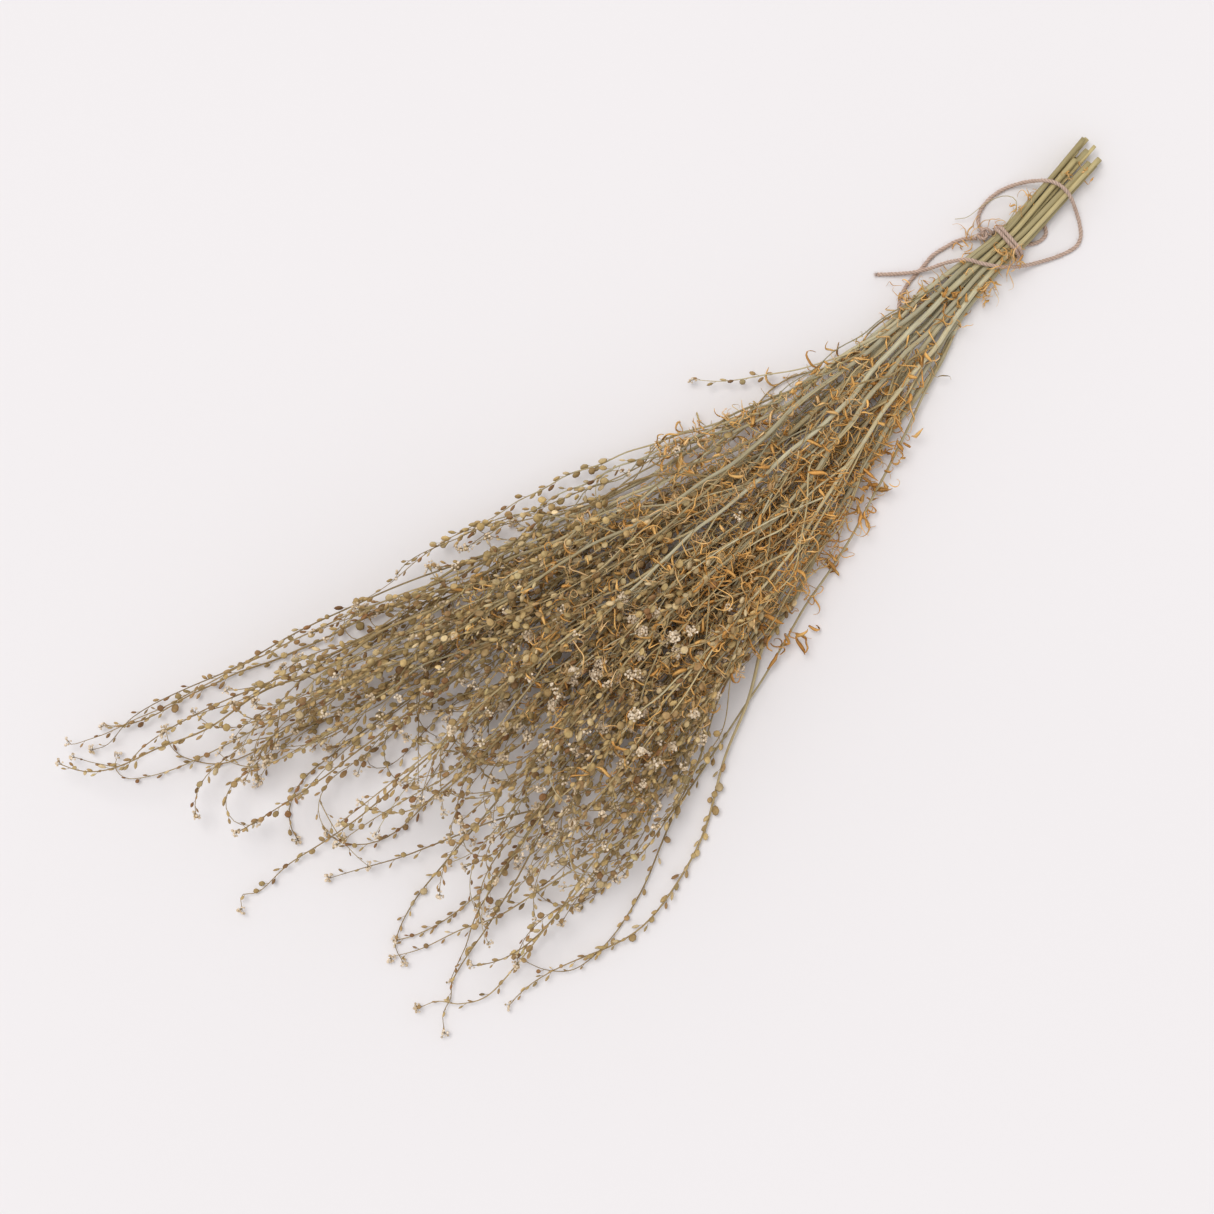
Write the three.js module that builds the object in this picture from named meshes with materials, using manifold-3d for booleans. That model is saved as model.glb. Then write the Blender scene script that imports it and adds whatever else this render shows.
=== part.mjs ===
// A bunch of dried cress gone to seed, tied with jute twine and lying on its side.
// Millimetres. +X runs from the cut ends to the flowering tips, +Y across the bunch, +Z up.

import * as THREE from 'three';
import { mergeVertices } from 'three/addons/utils/BufferGeometryUtils.js';
import Module from 'manifold-3d';

const wasm = await Module();
wasm.setup();

// Driving dimensions of the bunch
const bunchLength = 655; // cut ends to the farthest tip
const tieDistance = 73; // cut ends to the middle of the binding
const tieSpan = 16; // the stretch under the binding where the stems lie side by side
const flareWidth = 222; // between the outer stems of the lowest layer, where the fan is full
const flareHeight = 64; // between the lowest and the highest layer, where the fan is full
const fanShape = [0.55, 1.75, -1.2]; // how the fan widens with the first, second and third power of the way
const bundleLean = 15; // how far the fan's middle shifts towards +Y
const leanEnd = 0.35; // the share of the way past the tie over which it shifts
const cutEndShift = 6; // how far the cut ends sit towards -Y of the tie
const cutUnevenness = 14; // spread of the cut ends along X
const edgeSweep = -20; // how far the tips of each layer's first plant curve outwards
const bendLead = 40; // how far before the fruiting spike that curve begins
const arcBow = 34; // how far the lowest layer's last plant bows out

// Driving dimensions of one plant
const stemDiameter = 2.8;
const stemTipDiameter = 1.3;
const branchDiameter = 1.5;
const branchTipDiameter = 0.8;
const podSpikeDiameter = 7.2; // over the pods of a fruiting spike
const podSpikeWaist = 1.6; // between two pods
const podPitch = 19; // along the spike, for each swelling
const podSpikeLength = 190;
const podSpikeTaper = 0.45; // how much smaller the last swelling is, as a share
const flowerDiameter = 6.4;
const leafLength = 27;
const leafWidth = 2.2;
const leafThickness = 0.7;
const leafCurl = 3.6; // how far the leaf stands off its stem
const leafCurlTurn = Math.PI * 0.85; // half a turn would bring its tip back to the stem
const leafTaper = 0.7; // how much narrower its tip is, as a share
const leafPlace = 118; // past the tie, for the nearest leaf
const leafSpacing = 11; // between the leaves of neighbouring plants

// Driving dimensions of the twine
const twineDiameter = 2.3;
const bindingTurns = 2.25;
const knotSize = { x: 6.0, y: 5.2, z: 5.6 };

// Clearances
const stemGap = 0.7; // between neighbouring stems under the binding
const touchGap = 0.3; // between pieces that touch
const bindingGap = 0.5; // between the binding and the stems it holds
const branchMargin = 1.2; // kept free inside each plant's own space

// Mesh fineness
const stemSides = 5;
const branchSides = 4;
const twineSides = 8;
const firstStep = 14; // between rings along a stem, just past the tie
const stepGrowth = 1.3; // from one step to the next
const longestStep = 46; // and further out
const leafRings = 9;
const knotRings = 6;
const bindingPointsPerTurn = 24;
const bindingStep = 2.6;
const twineStep = 5.2;
const weldDistance = 1e-3; // points closer than this are one
const evenReach = 3e-3; // stems that stand out equally far, within this, keep the first of them

// The layers of plants, lowest first. Reach is each plant's length as a share of the bunch's.
const layers = [
  { share: 1.0, reach: [0.96, 0.9, 0.87, 0.88, 0.86] },
  { share: 0.86, reach: [1.0, 0.91, 0.84, 0.82, 0.83] },
  { share: 0.62, reach: [0.88, 0.83, 0.78, 0.75] },
];

// Side branches of every plant: where each forks off and ends, as shares of the plant's reach,
// and how far it goes towards the edges of the plant's own space, across and up.
const branches = [
  { fork: 0.3, end: 0.86, across: 0.8, up: 0.3 },
  { fork: 0.39, end: 0.9, across: -0.8, up: 0.5 },
  { fork: 0.47, end: 0.94, across: 0.35, up: 0.85 },
];
const forkLength = 80; // along X, from leaving the stem to running beside it

const pitch = stemDiameter + stemGap;
const bundleUnderside = twineDiameter + bindingGap; // the twine passes below the stems
const lowestAxis = Math.max(bundleUnderside + stemDiameter / 2, podSpikeDiameter / 2);
const layerCount = layers.length;

const finishes = {
  stem: { color: 0x9a9a6e, roughness: 0.75 },
  pods: { color: 0x857448, roughness: 0.8 },
  flowers: { color: 0xd8c6a6, roughness: 0.9 },
  leaf: { color: 0xb4803c, roughness: 0.8 },
  twine: { color: 0xb69a88, roughness: 0.95 },
};

// The share of the way from the tie to the tips.
function pastTie(x) {
  const tieEnd = tieDistance + tieSpan / 2;
  return Math.max(0, (x - tieEnd) / (bunchLength - tieEnd));
}

// How wide the fan is at a place along the bunch: 0 at the tie, about 1 near the tips.
function fan(x) {
  const p = pastTie(x);
  const [first, second, third] = fanShape;
  return first * p + second * p * p + third * p * p * p;
}

// The middle of the bunch across: it leans towards +Y past the tie.
function middle(x) {
  const before = Math.max(0, 1 - x / (tieDistance - tieSpan / 2)) * cutEndShift;
  return bundleLean * THREE.MathUtils.smoothstep(pastTie(x), 0, leanEnd) - before;
}

// Half the width that a layer's outer stems span.
function halfWidth(layer, x) {
  const packed = (pitch * (layers[layer].reach.length - 1)) / 2;
  return packed + (flareWidth / 2) * layers[layer].share * fan(x);
}

// The height between two layers.
function layerRise(x) {
  return pitch + (flareHeight / (layerCount - 1)) * fan(x);
}

// A plant owns a column of space that widens along the bunch. This gives its axis and half sizes.
function plantSpace(plant, x) {
  const columns = layers[plant.layer].reach.length;
  const place = (2 * plant.column) / (columns - 1) - 1;
  const half = halfWidth(plant.layer, x);
  return {
    y: middle(x) + place * half,
    z: lowestAxis + plant.layer * layerRise(x),
    halfY: half / (columns - 1) - branchMargin,
    halfZ: layerRise(x) / 2 - branchMargin,
  };
}

// Places along X where stems have their rings. Between two of them every axis is straight, so plants
// that are clear of each other at the rings are clear of each other all along.
const stations = [0, (tieDistance - tieSpan / 2) / 2, tieDistance - tieSpan / 2, tieDistance + tieSpan / 2];
for (let step = firstStep; stations[stations.length - 1] < bunchLength; ) {
  stations.push(stations[stations.length - 1] + step);
  step = Math.min(longestStep, step * stepGrowth);
}

function straightened(curve) {
  return (x) => {
    const next = Math.max(1, stations.findIndex((station) => station >= x));
    const [from, to] = [stations[next - 1], stations[next]];
    const [a, b] = [curve(from), curve(to)];
    const share = (x - from) / (to - from);
    return { y: a.y + share * (b.y - a.y), z: a.z + share * (b.z - a.z) };
  };
}

// The axis of a plant's main stem, with the sideways bend of its last stretch.
function stemCurve(plant, x) {
  const space = plantSpace(plant, x);
  const q = Math.max(0, (x - plant.bendFrom) / (plant.tip - plant.bendFrom));
  const sweep = plant.sweep * q * q + plant.bow * Math.sin(Math.PI * Math.min(1, q));
  return { ...space, y: space.y + sweep };
}

// The axis of a side branch: it leaves the stem and runs on beside it, inside the plant's space.
function branchCurve(plant, branch, x) {
  const stem = stemCurve(plant, x);
  const from = branch.fork * plant.tip;
  const away = THREE.MathUtils.smoothstep(x, from, from + forkLength);
  const up = plant.layer === 0 ? Math.abs(branch.up) : branch.up * plant.turn;
  return {
    y: stem.y + branch.across * plant.turn * away * Math.max(0, stem.halfY),
    z: stem.z + up * away * Math.max(0, stem.halfZ),
  };
}

function stemAxis(plant) {
  return straightened((x) => stemCurve(plant, x));
}

function branchAxis(plant, branch) {
  return straightened((x) => branchCurve(plant, branch, x));
}

function indexed(geometry) {
  geometry.deleteAttribute('normal');
  geometry.deleteAttribute('uv');
  const merged = mergeVertices(geometry, weldDistance);
  const corners = merged.index.array;
  const kept = [];
  for (let i = 0; i < corners.length; i += 3) {
    const [a, b, c] = [corners[i], corners[i + 1], corners[i + 2]];
    if (a !== b && b !== c && c !== a) kept.push(a, b, c);
  }
  merged.setIndex(kept);
  return merged;
}

// A round rod whose radius follows a list of [x, radius], bent along an axis. Sections stand square to X.
function bentRod(profile, axis, sides) {
  const first = profile[0];
  const last = profile[profile.length - 1];
  const outline = [new THREE.Vector2(0, first[0])];
  for (const [x, radius] of profile) outline.push(new THREE.Vector2(radius, x));
  outline.push(new THREE.Vector2(0, last[0]));
  const geometry = new THREE.LatheGeometry(outline, sides);
  const points = geometry.attributes.position;
  for (let i = 0; i < points.count; i += 1) {
    const x = points.getY(i);
    const at = axis(x);
    points.setXYZ(i, x, at.y + points.getZ(i), at.z + points.getX(i));
  }
  return indexed(geometry);
}

function toSolid(geometry) {
  const mesh = new wasm.Mesh({
    numProp: 3,
    vertProperties: new Float32Array(geometry.attributes.position.array),
    triVerts: new Uint32Array(geometry.index.array),
  });
  return new wasm.Manifold(mesh);
}

function toGeometry(solid) {
  const mesh = solid.getMesh();
  const geometry = new THREE.BufferGeometry();
  geometry.setAttribute('position', new THREE.BufferAttribute(mesh.vertProperties, 3));
  geometry.setIndex(new THREE.BufferAttribute(mesh.triVerts, 1));
  return geometry;
}

function taperedProfile(from, to, fromRadius, toRadius) {
  const between = stations.filter((x) => x > from + touchGap && x < to - touchGap);
  return [from, ...between, to].map((x) => {
    const share = (x - from) / (to - from);
    return [x, fromRadius + share * (toRadius - fromRadius)];
  });
}

// The main stem with its side branches, joined into one piece.
function stemGeometry(plant) {
  const profile = taperedProfile(plant.cut, plant.stemEnd, stemDiameter / 2, stemTipDiameter / 2);
  let solid = toSolid(bentRod(profile, stemAxis(plant), stemSides));
  for (const branch of branches) {
    const from = branch.fork * plant.tip;
    const to = branch.end * plant.tip;
    const thin = taperedProfile(from, to, branchDiameter / 2, branchTipDiameter / 2);
    solid = solid.add(toSolid(bentRod(thin, branchAxis(plant, branch), branchSides)));
  }
  return toGeometry(solid);
}

// The fruiting spike: a thin stalk that swells at each group of pods.
function podsGeometry(plant) {
  const from = plant.stemEnd + touchGap;
  const count = Math.round((plant.spikeEnd - from) / podPitch);
  const step = (plant.spikeEnd - from) / count;
  const profile = [];
  for (let i = 0; i < count; i += 1) {
    const shrink = 1 - podSpikeTaper * (i / count);
    profile.push([from + i * step, podSpikeWaist / 2]);
    profile.push([from + (i + 0.5) * step, (podSpikeDiameter / 2) * shrink]);
  }
  profile.push([plant.spikeEnd, podSpikeWaist / 2]);
  return bentRod(profile, stemAxis(plant), stemSides);
}

function flowersGeometry(plant) {
  const centre = plant.spikeEnd + touchGap + flowerDiameter / 2;
  const at = stemAxis(plant)(centre);
  const geometry = new THREE.IcosahedronGeometry(flowerDiameter / 2, 0);
  geometry.translate(centre, at.y, at.z);
  return indexed(geometry);
}

// A narrow dried leaf that stands off its stem in a curl.
function leafGeometry(plant) {
  const side = -plant.turn;
  const geometry = new THREE.BoxGeometry(leafLength, leafThickness, leafWidth, leafRings, 1, 1);
  const points = geometry.attributes.position;
  const axis = stemAxis(plant);
  const base = stemDiameter / 2 + touchGap + leafThickness / 2;
  for (let i = 0; i < points.count; i += 1) {
    const share = points.getX(i) / leafLength + 0.5;
    const x = plant.leafFrom + share * leafLength;
    const stem = axis(x);
    const off = base + leafCurl * Math.sin(leafCurlTurn * share);
    const narrow = 1 - leafTaper * share;
    points.setXYZ(i, x, stem.y + side * off + points.getY(i), stem.z + points.getZ(i) * narrow);
  }
  return indexed(geometry);
}

function twineGeometry(points, step) {
  const path = new THREE.CatmullRomCurve3(points, false, 'centripetal');
  const section = new THREE.Shape();
  for (let i = 0; i < twineSides; i += 1) {
    const angle = (2 * Math.PI * i) / twineSides;
    const across = (twineDiameter / 2) * Math.cos(angle);
    const up = (twineDiameter / 2) * Math.sin(angle);
    if (i === 0) section.moveTo(across, up);
    else section.lineTo(across, up);
  }
  section.closePath();
  const steps = Math.round(path.getLength() / step);
  return indexed(new THREE.ExtrudeGeometry(section, { steps, bevelEnabled: false, extrudePath: path }));
}

// The plants, lowest layer first, each with its own lengths and bends.
function makePlants() {
  const plants = [];
  layers.forEach((layer, layerIndex) => {
    layer.reach.forEach((reach, column) => {
      const index = plants.length;
      const last = layer.reach.length - 1;
      const tip = reach * bunchLength;
      const spikeEnd = tip - flowerDiameter - touchGap;
      plants.push({
        index,
        layer: layerIndex,
        column,
        turn: index % 2 === 0 ? 1 : -1,
        tip,
        spikeEnd,
        stemEnd: spikeEnd - podSpikeLength,
        cut: cutUnevenness * ((index * 5) % 7) / 6,
        leafFrom: tieDistance + leafPlace + leafSpacing * (index % 4),
        bendFrom: tip - podSpikeLength - bendLead,
        sweep: column === 0 ? edgeSweep : 0,
        bow: column === last && layerIndex === 0 ? arcBow : 0,
      });
    });
  });
  return plants;
}

// The binding's short bight lies under the stems and shows at their side. Its points end where the
// turns begin, measured along X from the tie and across from the middle of the bundle.
const bight = [
  [-22.5, -1.0],
  [-22.8, 4.0],
  [-21.7, 9.0],
  [-18.5, 11.6],
  [-13.5, 11.4],
  [-8.5, 8.6],
  [-5.5, 4.0],
  [-3.8, -1.5],
];

// The loose loop, from the knot round over the cut ends, back over the stems and out to its cut tail.
const loopRoute = [
  [79.0, -14.9, 4.9],
  [78.4, -17.8, 3.4],
  [75.6, -21.6, 1.8],
  [69.3, -24.7, 1.2],
  [59.6, -25.2, 1.2],
  [50.3, -22.8, 2.2],
  [41.6, -18.0, 6.2],
  [34.8, -11.6, 13.0],
  [31.6, -6.4, 14.6],
  [30.3, -0.6, 14.6],
  [30.7, 5.4, 12.6],
  [32.3, 12.0, 7.2],
  [35.2, 19.6, 2.6],
  [39.6, 25.6, 1.3],
  [45.8, 27.8, 1.2],
  [55.6, 25.4, 1.2],
  [67.6, 20.0, 2.4],
  [76.6, 15.2, 6.4],
  [83.4, 10.6, 13.0],
  [88.4, 5.6, 15.8],
  [94.0, -1.8, 16.2],
  [98.4, -8.6, 15.4],
  [106.6, -14.6, 9.4],
  [115.2, -18.6, 5.4],
  [123.7, -23.3, 4.0],
  [131.6, -29.4, 2.2],
  [139.6, -36.3, 1.2],
];

// The second loose strand, from the knot along the surface and in under the bunch.
const strandRoute = [
  [84.3, -13.6, 4.4],
  [87.4, -16.6, 2.6],
  [92.2, -19.6, 1.3],
  [99.4, -21.6, 1.2],
  [109.2, -23.2, 1.2],
  [117.1, -22.2, 1.2],
  [125.6, -21.4, 1.2],
  [132.4, -20.3, 1.2],
  [139.0, -17.6, 1.2],
  [143.8, -13.4, 1.2],
  [146.4, -8.4, 1.2],
  [148.4, -2.0, 1.2],
];

function routePoints(route) {
  return route.map(([x, y, z]) => new THREE.Vector3(x, y, z));
}

// The binding: the bight, then turns round whichever stem stands out furthest in each direction.
function bindingPoints(plants) {
  const centres = plants.map((plant) => stemAxis(plant)(tieDistance));
  const reach = stemDiameter / 2 + bindingGap + twineDiameter / 2;
  const turnSpacing = twineDiameter + touchGap;
  const count = bindingTurns * bindingPointsPerTurn;
  const low = lowestAxis - reach;
  const points = bight.map(([x, y]) => new THREE.Vector3(tieDistance + x, y, low));
  for (let i = 0; i <= count; i += 1) {
    const turn = i / bindingPointsPerTurn;
    const angle = Math.PI * (1.5 - 2 * turn);
    const out = { y: Math.cos(angle), z: Math.sin(angle) };
    const outness = (centre) => centre.y * out.y + centre.z * out.z;
    let furthest = centres[0];
    for (const centre of centres) {
      if (outness(centre) > outness(furthest) + evenReach) furthest = centre;
    }
    const x = tieDistance + turnSpacing * (turn - bindingTurns / 2);
    points.push(new THREE.Vector3(x, furthest.y + reach * out.y, furthest.z + reach * out.z));
  }
  return points;
}

// The knot, a rounded lump beside the stems, just past the binding.
function knotGeometry(plants) {
  const x = tieDistance + ((bindingTurns + 1) * (twineDiameter + touchGap) + knotSize.x) / 2;
  const side = Math.min(...plants.map((plant) => stemAxis(plant)(x).y)) - stemDiameter / 2;
  const outline = [];
  for (let i = 0; i <= knotRings; i += 1) {
    const angle = (Math.PI * i) / knotRings - Math.PI / 2;
    const radius = i === 0 || i === knotRings ? 0 : Math.cos(angle) / 2;
    outline.push(new THREE.Vector2(radius, Math.sin(angle) / 2));
  }
  const geometry = new THREE.LatheGeometry(outline, twineSides);
  geometry.scale(knotSize.x, knotSize.y, knotSize.z);
  geometry.translate(x, side - touchGap - knotSize.y / 2, lowestAxis + touchGap);
  return indexed(geometry);
}

function addMesh(group, name, geometry, finish) {
  const material = new THREE.MeshStandardMaterial({ ...finish, metalness: 0 });
  const mesh = new THREE.Mesh(geometry, material);
  mesh.name = name;
  group.add(mesh);
  return mesh;
}

const group = new THREE.Group();
const plants = makePlants();
for (const plant of plants) {
  const number = String(plant.index + 1).padStart(2, '0');
  addMesh(group, `stem_${number}`, stemGeometry(plant), finishes.stem);
  addMesh(group, `pods_${number}`, podsGeometry(plant), finishes.pods);
  addMesh(group, `flowers_${number}`, flowersGeometry(plant), finishes.flowers);
  addMesh(group, `leaf_${number}`, leafGeometry(plant), finishes.leaf);
}
addMesh(group, 'twine_binding', twineGeometry(bindingPoints(plants), bindingStep), finishes.twine);
addMesh(group, 'twine_knot', knotGeometry(plants), finishes.twine);

// The origin is under the middle of everything but the loose twine, on the surface it lies on.
const box = new THREE.Box3().setFromObject(group);
const centre = box.getCenter(new THREE.Vector3());
group.position.set(-centre.x, -centre.y, -box.min.z);

addMesh(group, 'twine_loop', twineGeometry(routePoints(loopRoute), twineStep), finishes.twine);
addMesh(group, 'twine_strand', twineGeometry(routePoints(strandRoute), twineStep), finishes.twine);

export default group;
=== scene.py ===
import math
import bpy
import numpy as np
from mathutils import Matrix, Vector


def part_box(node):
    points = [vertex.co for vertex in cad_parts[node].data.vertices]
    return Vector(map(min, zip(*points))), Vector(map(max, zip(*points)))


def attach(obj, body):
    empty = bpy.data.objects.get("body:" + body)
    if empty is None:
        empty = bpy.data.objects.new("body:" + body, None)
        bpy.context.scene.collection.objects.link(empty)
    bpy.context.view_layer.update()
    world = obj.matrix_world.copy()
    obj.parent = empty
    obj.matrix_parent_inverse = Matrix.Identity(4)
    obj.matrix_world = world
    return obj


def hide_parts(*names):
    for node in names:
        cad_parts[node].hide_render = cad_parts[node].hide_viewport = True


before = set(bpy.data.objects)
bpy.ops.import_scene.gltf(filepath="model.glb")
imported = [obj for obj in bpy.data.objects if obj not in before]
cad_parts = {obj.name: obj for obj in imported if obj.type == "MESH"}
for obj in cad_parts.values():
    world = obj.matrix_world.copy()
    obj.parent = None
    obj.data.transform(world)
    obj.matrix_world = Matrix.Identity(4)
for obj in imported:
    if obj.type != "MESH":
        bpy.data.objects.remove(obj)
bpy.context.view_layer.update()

print("frame loaded:", len(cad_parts), "nodes")

# Lengths are in metres. x runs from the cut ends to the tips, y across, z up from the surface it lies on.
bunch = dict(
    length=0.655,  # cut ends to the farthest tip
    tie=0.073,  # cut ends to the middle of the binding
    tieSpan=0.016,  # where the stems lie side by side
    flareWidth=0.222,
    flareHeight=0.064,
    fanShape=(0.55, 1.75, -1.2),  # how it opens: shares of the way past the tie, of its square and its cube
    lean=0.015,  # how far the fan drifts towards +y
    leanEnd=0.35,  # the share of the way past the tie where the drift ends
    cutShift=0.006,
    cutUneven=0.014,
    pitch=0.0035,  # between neighbouring stems under the binding
    lowestAxis=0.0042,
    stemWidth=0.0028,
    spikeLength=0.19,
    bendLead=0.04,  # stems bend from this far below their spikes
    edgeSweep=-0.02,  # of the left plants
    arcBow=0.034,  # of the lowest right plant
    sidePulls=(-0.034, -0.008),  # how far the side spikes of the two left plants spread out
    arcPull=-0.020,  # and how far those of the lowest right one stay in
    above=0.00005,  # everything is kept off the surface that the bunch lies on
    seed=7,
)

# each layer of plants, lowest first: its share of the width, and each plant's share of the length
layers = [
    dict(share=1.0, reach=[0.96, 0.9, 0.87, 0.88, 0.86]),
    dict(share=0.86, reach=[1.0, 0.91, 0.84, 0.82, 0.83]),
    dict(share=0.62, reach=[0.88, 0.83, 0.78, 0.75]),
]

rng = np.random.default_rng(bunch["seed"])


def reseed(*key):
    # each part of each plant draws from a seed of its own, so a change to one leaves the others alone
    global rng
    rng = np.random.default_rng((bunch["seed"], *key))


twineWidth = 0.0023
bindingGap = 0.0005
gripReach = 2 * bunch["pitch"] + bunch["stemWidth"] / 2 + bindingGap + twineWidth
# the cut ends' corner of the frame, and the middle of the bundle at the tie
home = np.array([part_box("stem_01")[0].x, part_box("twine_binding")[0].y + gripReach, 0.0])


def smoothStep(p, low, high):
    t = np.clip((p - low) / (high - low), 0, 1)
    return t * t * (3 - 2 * t)


def pastTie(x):
    start = bunch["tie"] + bunch["tieSpan"] / 2
    return np.maximum(0, (x - start) / (bunch["length"] - start))


def fan(x):
    p = pastTie(x)
    first, second, third = bunch["fanShape"]
    return first * p + second * p**2 + third * p**3


def middleY(x):
    before = np.maximum(0, 1 - x / (bunch["tie"] - bunch["tieSpan"] / 2)) * bunch["cutShift"]
    return bunch["lean"] * smoothStep(pastTie(x), 0, bunch["leanEnd"]) - before


def halfWidth(layer, x):
    packed = bunch["pitch"] * (len(layers[layer]["reach"]) - 1) / 2
    return packed + bunch["flareWidth"] / 2 * layers[layer]["share"] * fan(x)


def layerRise(x):
    return bunch["pitch"] + bunch["flareHeight"] / (len(layers) - 1) * fan(x)


def stemCentre(plant, x):
    # the middle line of a plant's main stem, as the frame has it
    columns = len(layers[plant["layer"]]["reach"])
    place = 2 * plant["column"] / (columns - 1) - 1
    q = np.maximum(0, (x - plant["bendFrom"]) / (plant["tip"] - plant["bendFrom"]))
    y = middleY(x) + place * halfWidth(plant["layer"], x)
    y = y + plant["sweep"] * q**2 + plant["bow"] * np.sin(math.pi * np.minimum(1, q))
    z = bunch["lowestAxis"] + plant["layer"] * layerRise(x)
    return np.stack([x, y, z], axis=-1)


def makePlants():
    plants = []
    for layerIndex, layer in enumerate(layers):
        for column, reach in enumerate(layer["reach"]):
            index = len(plants)
            tip = reach * bunch["length"]
            isArc = layerIndex == 0 and column == len(layer["reach"]) - 1
            pulls = dict(enumerate(bunch["sidePulls"]))
            plants.append(dict(
                index=index,
                number=f"{index + 1:02d}",
                layer=layerIndex,
                column=column,
                isLeft=column == 0,
                tip=tip,
                cut=bunch["cutUneven"] * ((index * 5) % 7) / 6,  # seven steps, in a mixed order
                bendFrom=tip - bunch["spikeLength"] - bunch["bendLead"],
                sweep=bunch["edgeSweep"] if column == 0 else 0.0,
                bow=bunch["arcBow"] if isArc else 0.0,
                pull=bunch["arcPull"] if isArc else pulls.get(column, 0.0),
            ))
    return plants


plants = makePlants()

# it looks straight down, turned so that the cut ends are at the upper right
view = dict(middle=(0.381, 0.0005), height=2.0, widthSeen=0.692, turn=137.8, sensor=36)

cameraData = bpy.data.cameras.new("camera")
cameraData.sensor_width = view["sensor"]
cameraData.lens = view["sensor"] * view["height"] / view["widthSeen"]
camera = bpy.data.objects.new("camera", cameraData)
camera.location = (home[0] + view["middle"][0], home[1] + view["middle"][1], view["height"])
camera.rotation_euler = (0, 0, math.radians(view["turn"]))
bpy.context.scene.collection.objects.link(camera)
bpy.context.scene.camera = camera
bpy.context.scene.view_settings.view_transform = "Standard"
print("camera set")


def unit(v):
    return v / np.maximum(np.linalg.norm(v, axis=-1, keepdims=True), 1e-12)


def turnAbout(v, axis, angle):
    # turns each vector about its axis
    c, s = np.cos(angle)[..., None], np.sin(angle)[..., None]
    along = (axis * v).sum(-1, keepdims=True)
    return v * c + np.cross(axis, v) * s + axis * along * (1 - c)


def smoothLine(points, step, pieces=24):
    # a smooth line through given points, cut into equal steps
    p = np.array(points, float)
    p = np.vstack([2 * p[0] - p[1], p, 2 * p[-1] - p[-2]])
    t = np.linspace(0, 1, pieces, endpoint=False)[:, None]
    out = []
    for a, b, c, d in zip(p[:-3], p[1:-2], p[2:-1], p[3:]):
        out.append(0.5 * (2 * b + (c - a) * t + (2 * a - 5 * b + 4 * c - d) * t**2
                          + (3 * b - a - 3 * c + d) * t**3))
    return evenLine(np.vstack(out + [p[-2:-1]]), step)


def distances(line):
    # how far along the line each of its points is
    return np.concatenate([[0], np.cumsum(np.linalg.norm(np.diff(line, axis=0), axis=1))])


def follow(line, walked, at):
    # the values that belong to the places at, between those that belong to the line's points
    return np.stack([np.interp(at, walked, line[:, k]) for k in range(3)], axis=1)


def evenLine(line, step):
    walked = distances(line)
    count = max(2, int(round(walked[-1] / step)) + 1)
    return follow(line, walked, np.linspace(0, walked[-1], count))


def lineLength(line):
    return float(np.linalg.norm(np.diff(line, axis=0), axis=1).sum())


def framesAlong(line):
    # the direction along a line, and two across it that don't spin
    ahead = unit(np.gradient(line, axis=0))
    across = np.zeros_like(ahead)
    first = np.cross(ahead[0], (0.0, 0.0, 1.0))
    if np.linalg.norm(first) < 0.1:
        first = np.cross(ahead[0], (0.0, 1.0, 0.0))
    across[0] = unit(first)
    for i in range(1, len(line)):
        carried = across[i - 1] - ahead[i] * np.dot(across[i - 1], ahead[i])
        across[i] = carried / max(np.linalg.norm(carried), 1e-9)
    return ahead, across, np.cross(ahead, across)


class Heap:
    # gathers vertices, faces and two colour channels until they become one mesh

    def __init__(self):
        self.places, self.corners, self.sizes, self.tints, self.ways = [], [], [], [], []
        self.count = 0

    def add(self, places, faces, tint, way=None):
        # faces is a list of arrays, each of triangles or of quads
        places = np.asarray(places, float).reshape(-1, 3)
        for group in faces:
            group = np.asarray(group)
            self.corners.append((group + self.count).ravel())
            self.sizes.append(np.full(len(group), group.shape[1]))
        self.places.append(places)
        self.tints.append(np.broadcast_to(np.asarray(tint, float), (len(places), 4)))
        self.ways.append(np.zeros((len(places), 3)) if way is None else np.asarray(way, float))
        self.count += len(places)

    def toObject(self, name, material):
        mesh = bpy.data.meshes.new(name)
        sizes = np.concatenate(self.sizes)
        corners = np.concatenate(self.corners)
        mesh.vertices.add(self.count)
        places = np.vstack(self.places) + home
        places[:, 2] = np.maximum(places[:, 2], bunch["above"])
        mesh.vertices.foreach_set("co", places.ravel())
        mesh.loops.add(len(corners))
        mesh.loops.foreach_set("vertex_index", corners)
        mesh.polygons.add(len(sizes))
        mesh.polygons.foreach_set("loop_start", np.concatenate([[0], np.cumsum(sizes)[:-1]]))
        mesh.polygons.foreach_set("use_smooth", np.ones(len(sizes), bool))
        mesh.update(calc_edges=True)
        tint = mesh.attributes.new("tint", "FLOAT_COLOR", "POINT")
        tint.data.foreach_set("color", np.vstack(self.tints).ravel())
        way = mesh.attributes.new("way", "FLOAT_VECTOR", "POINT")
        way.data.foreach_set("vector", np.vstack(self.ways).ravel())
        mesh.materials.append(material)
        piece = bpy.data.objects.new(name, mesh)
        bpy.context.scene.collection.objects.link(piece)
        return piece


def tubeFaces(rings, sides):
    ring = np.arange(rings - 1)[:, None] * sides
    side = np.arange(sides)[None, :]
    nextSide = (side + 1) % sides
    corners = [ring + side, ring + nextSide, ring + sides + nextSide, ring + sides + side]
    return np.stack(corners, -1).reshape(-1, 4)


def ringsAbout(line, radius, angle, across, up):
    # a ring of points about each point of a line
    return line[:, None] + radius[..., None] * (
        np.cos(angle)[..., None] * across[:, None] + np.sin(angle)[..., None] * up[:, None])


def ringAcross(sides, side, other):
    # the ring of a thin rod's section, for many rods at once
    angle = 2 * math.pi * np.arange(sides) / sides
    return np.cos(angle)[None, :, None] * side[:, None] + np.sin(angle)[None, :, None] * other[:, None]


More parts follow.
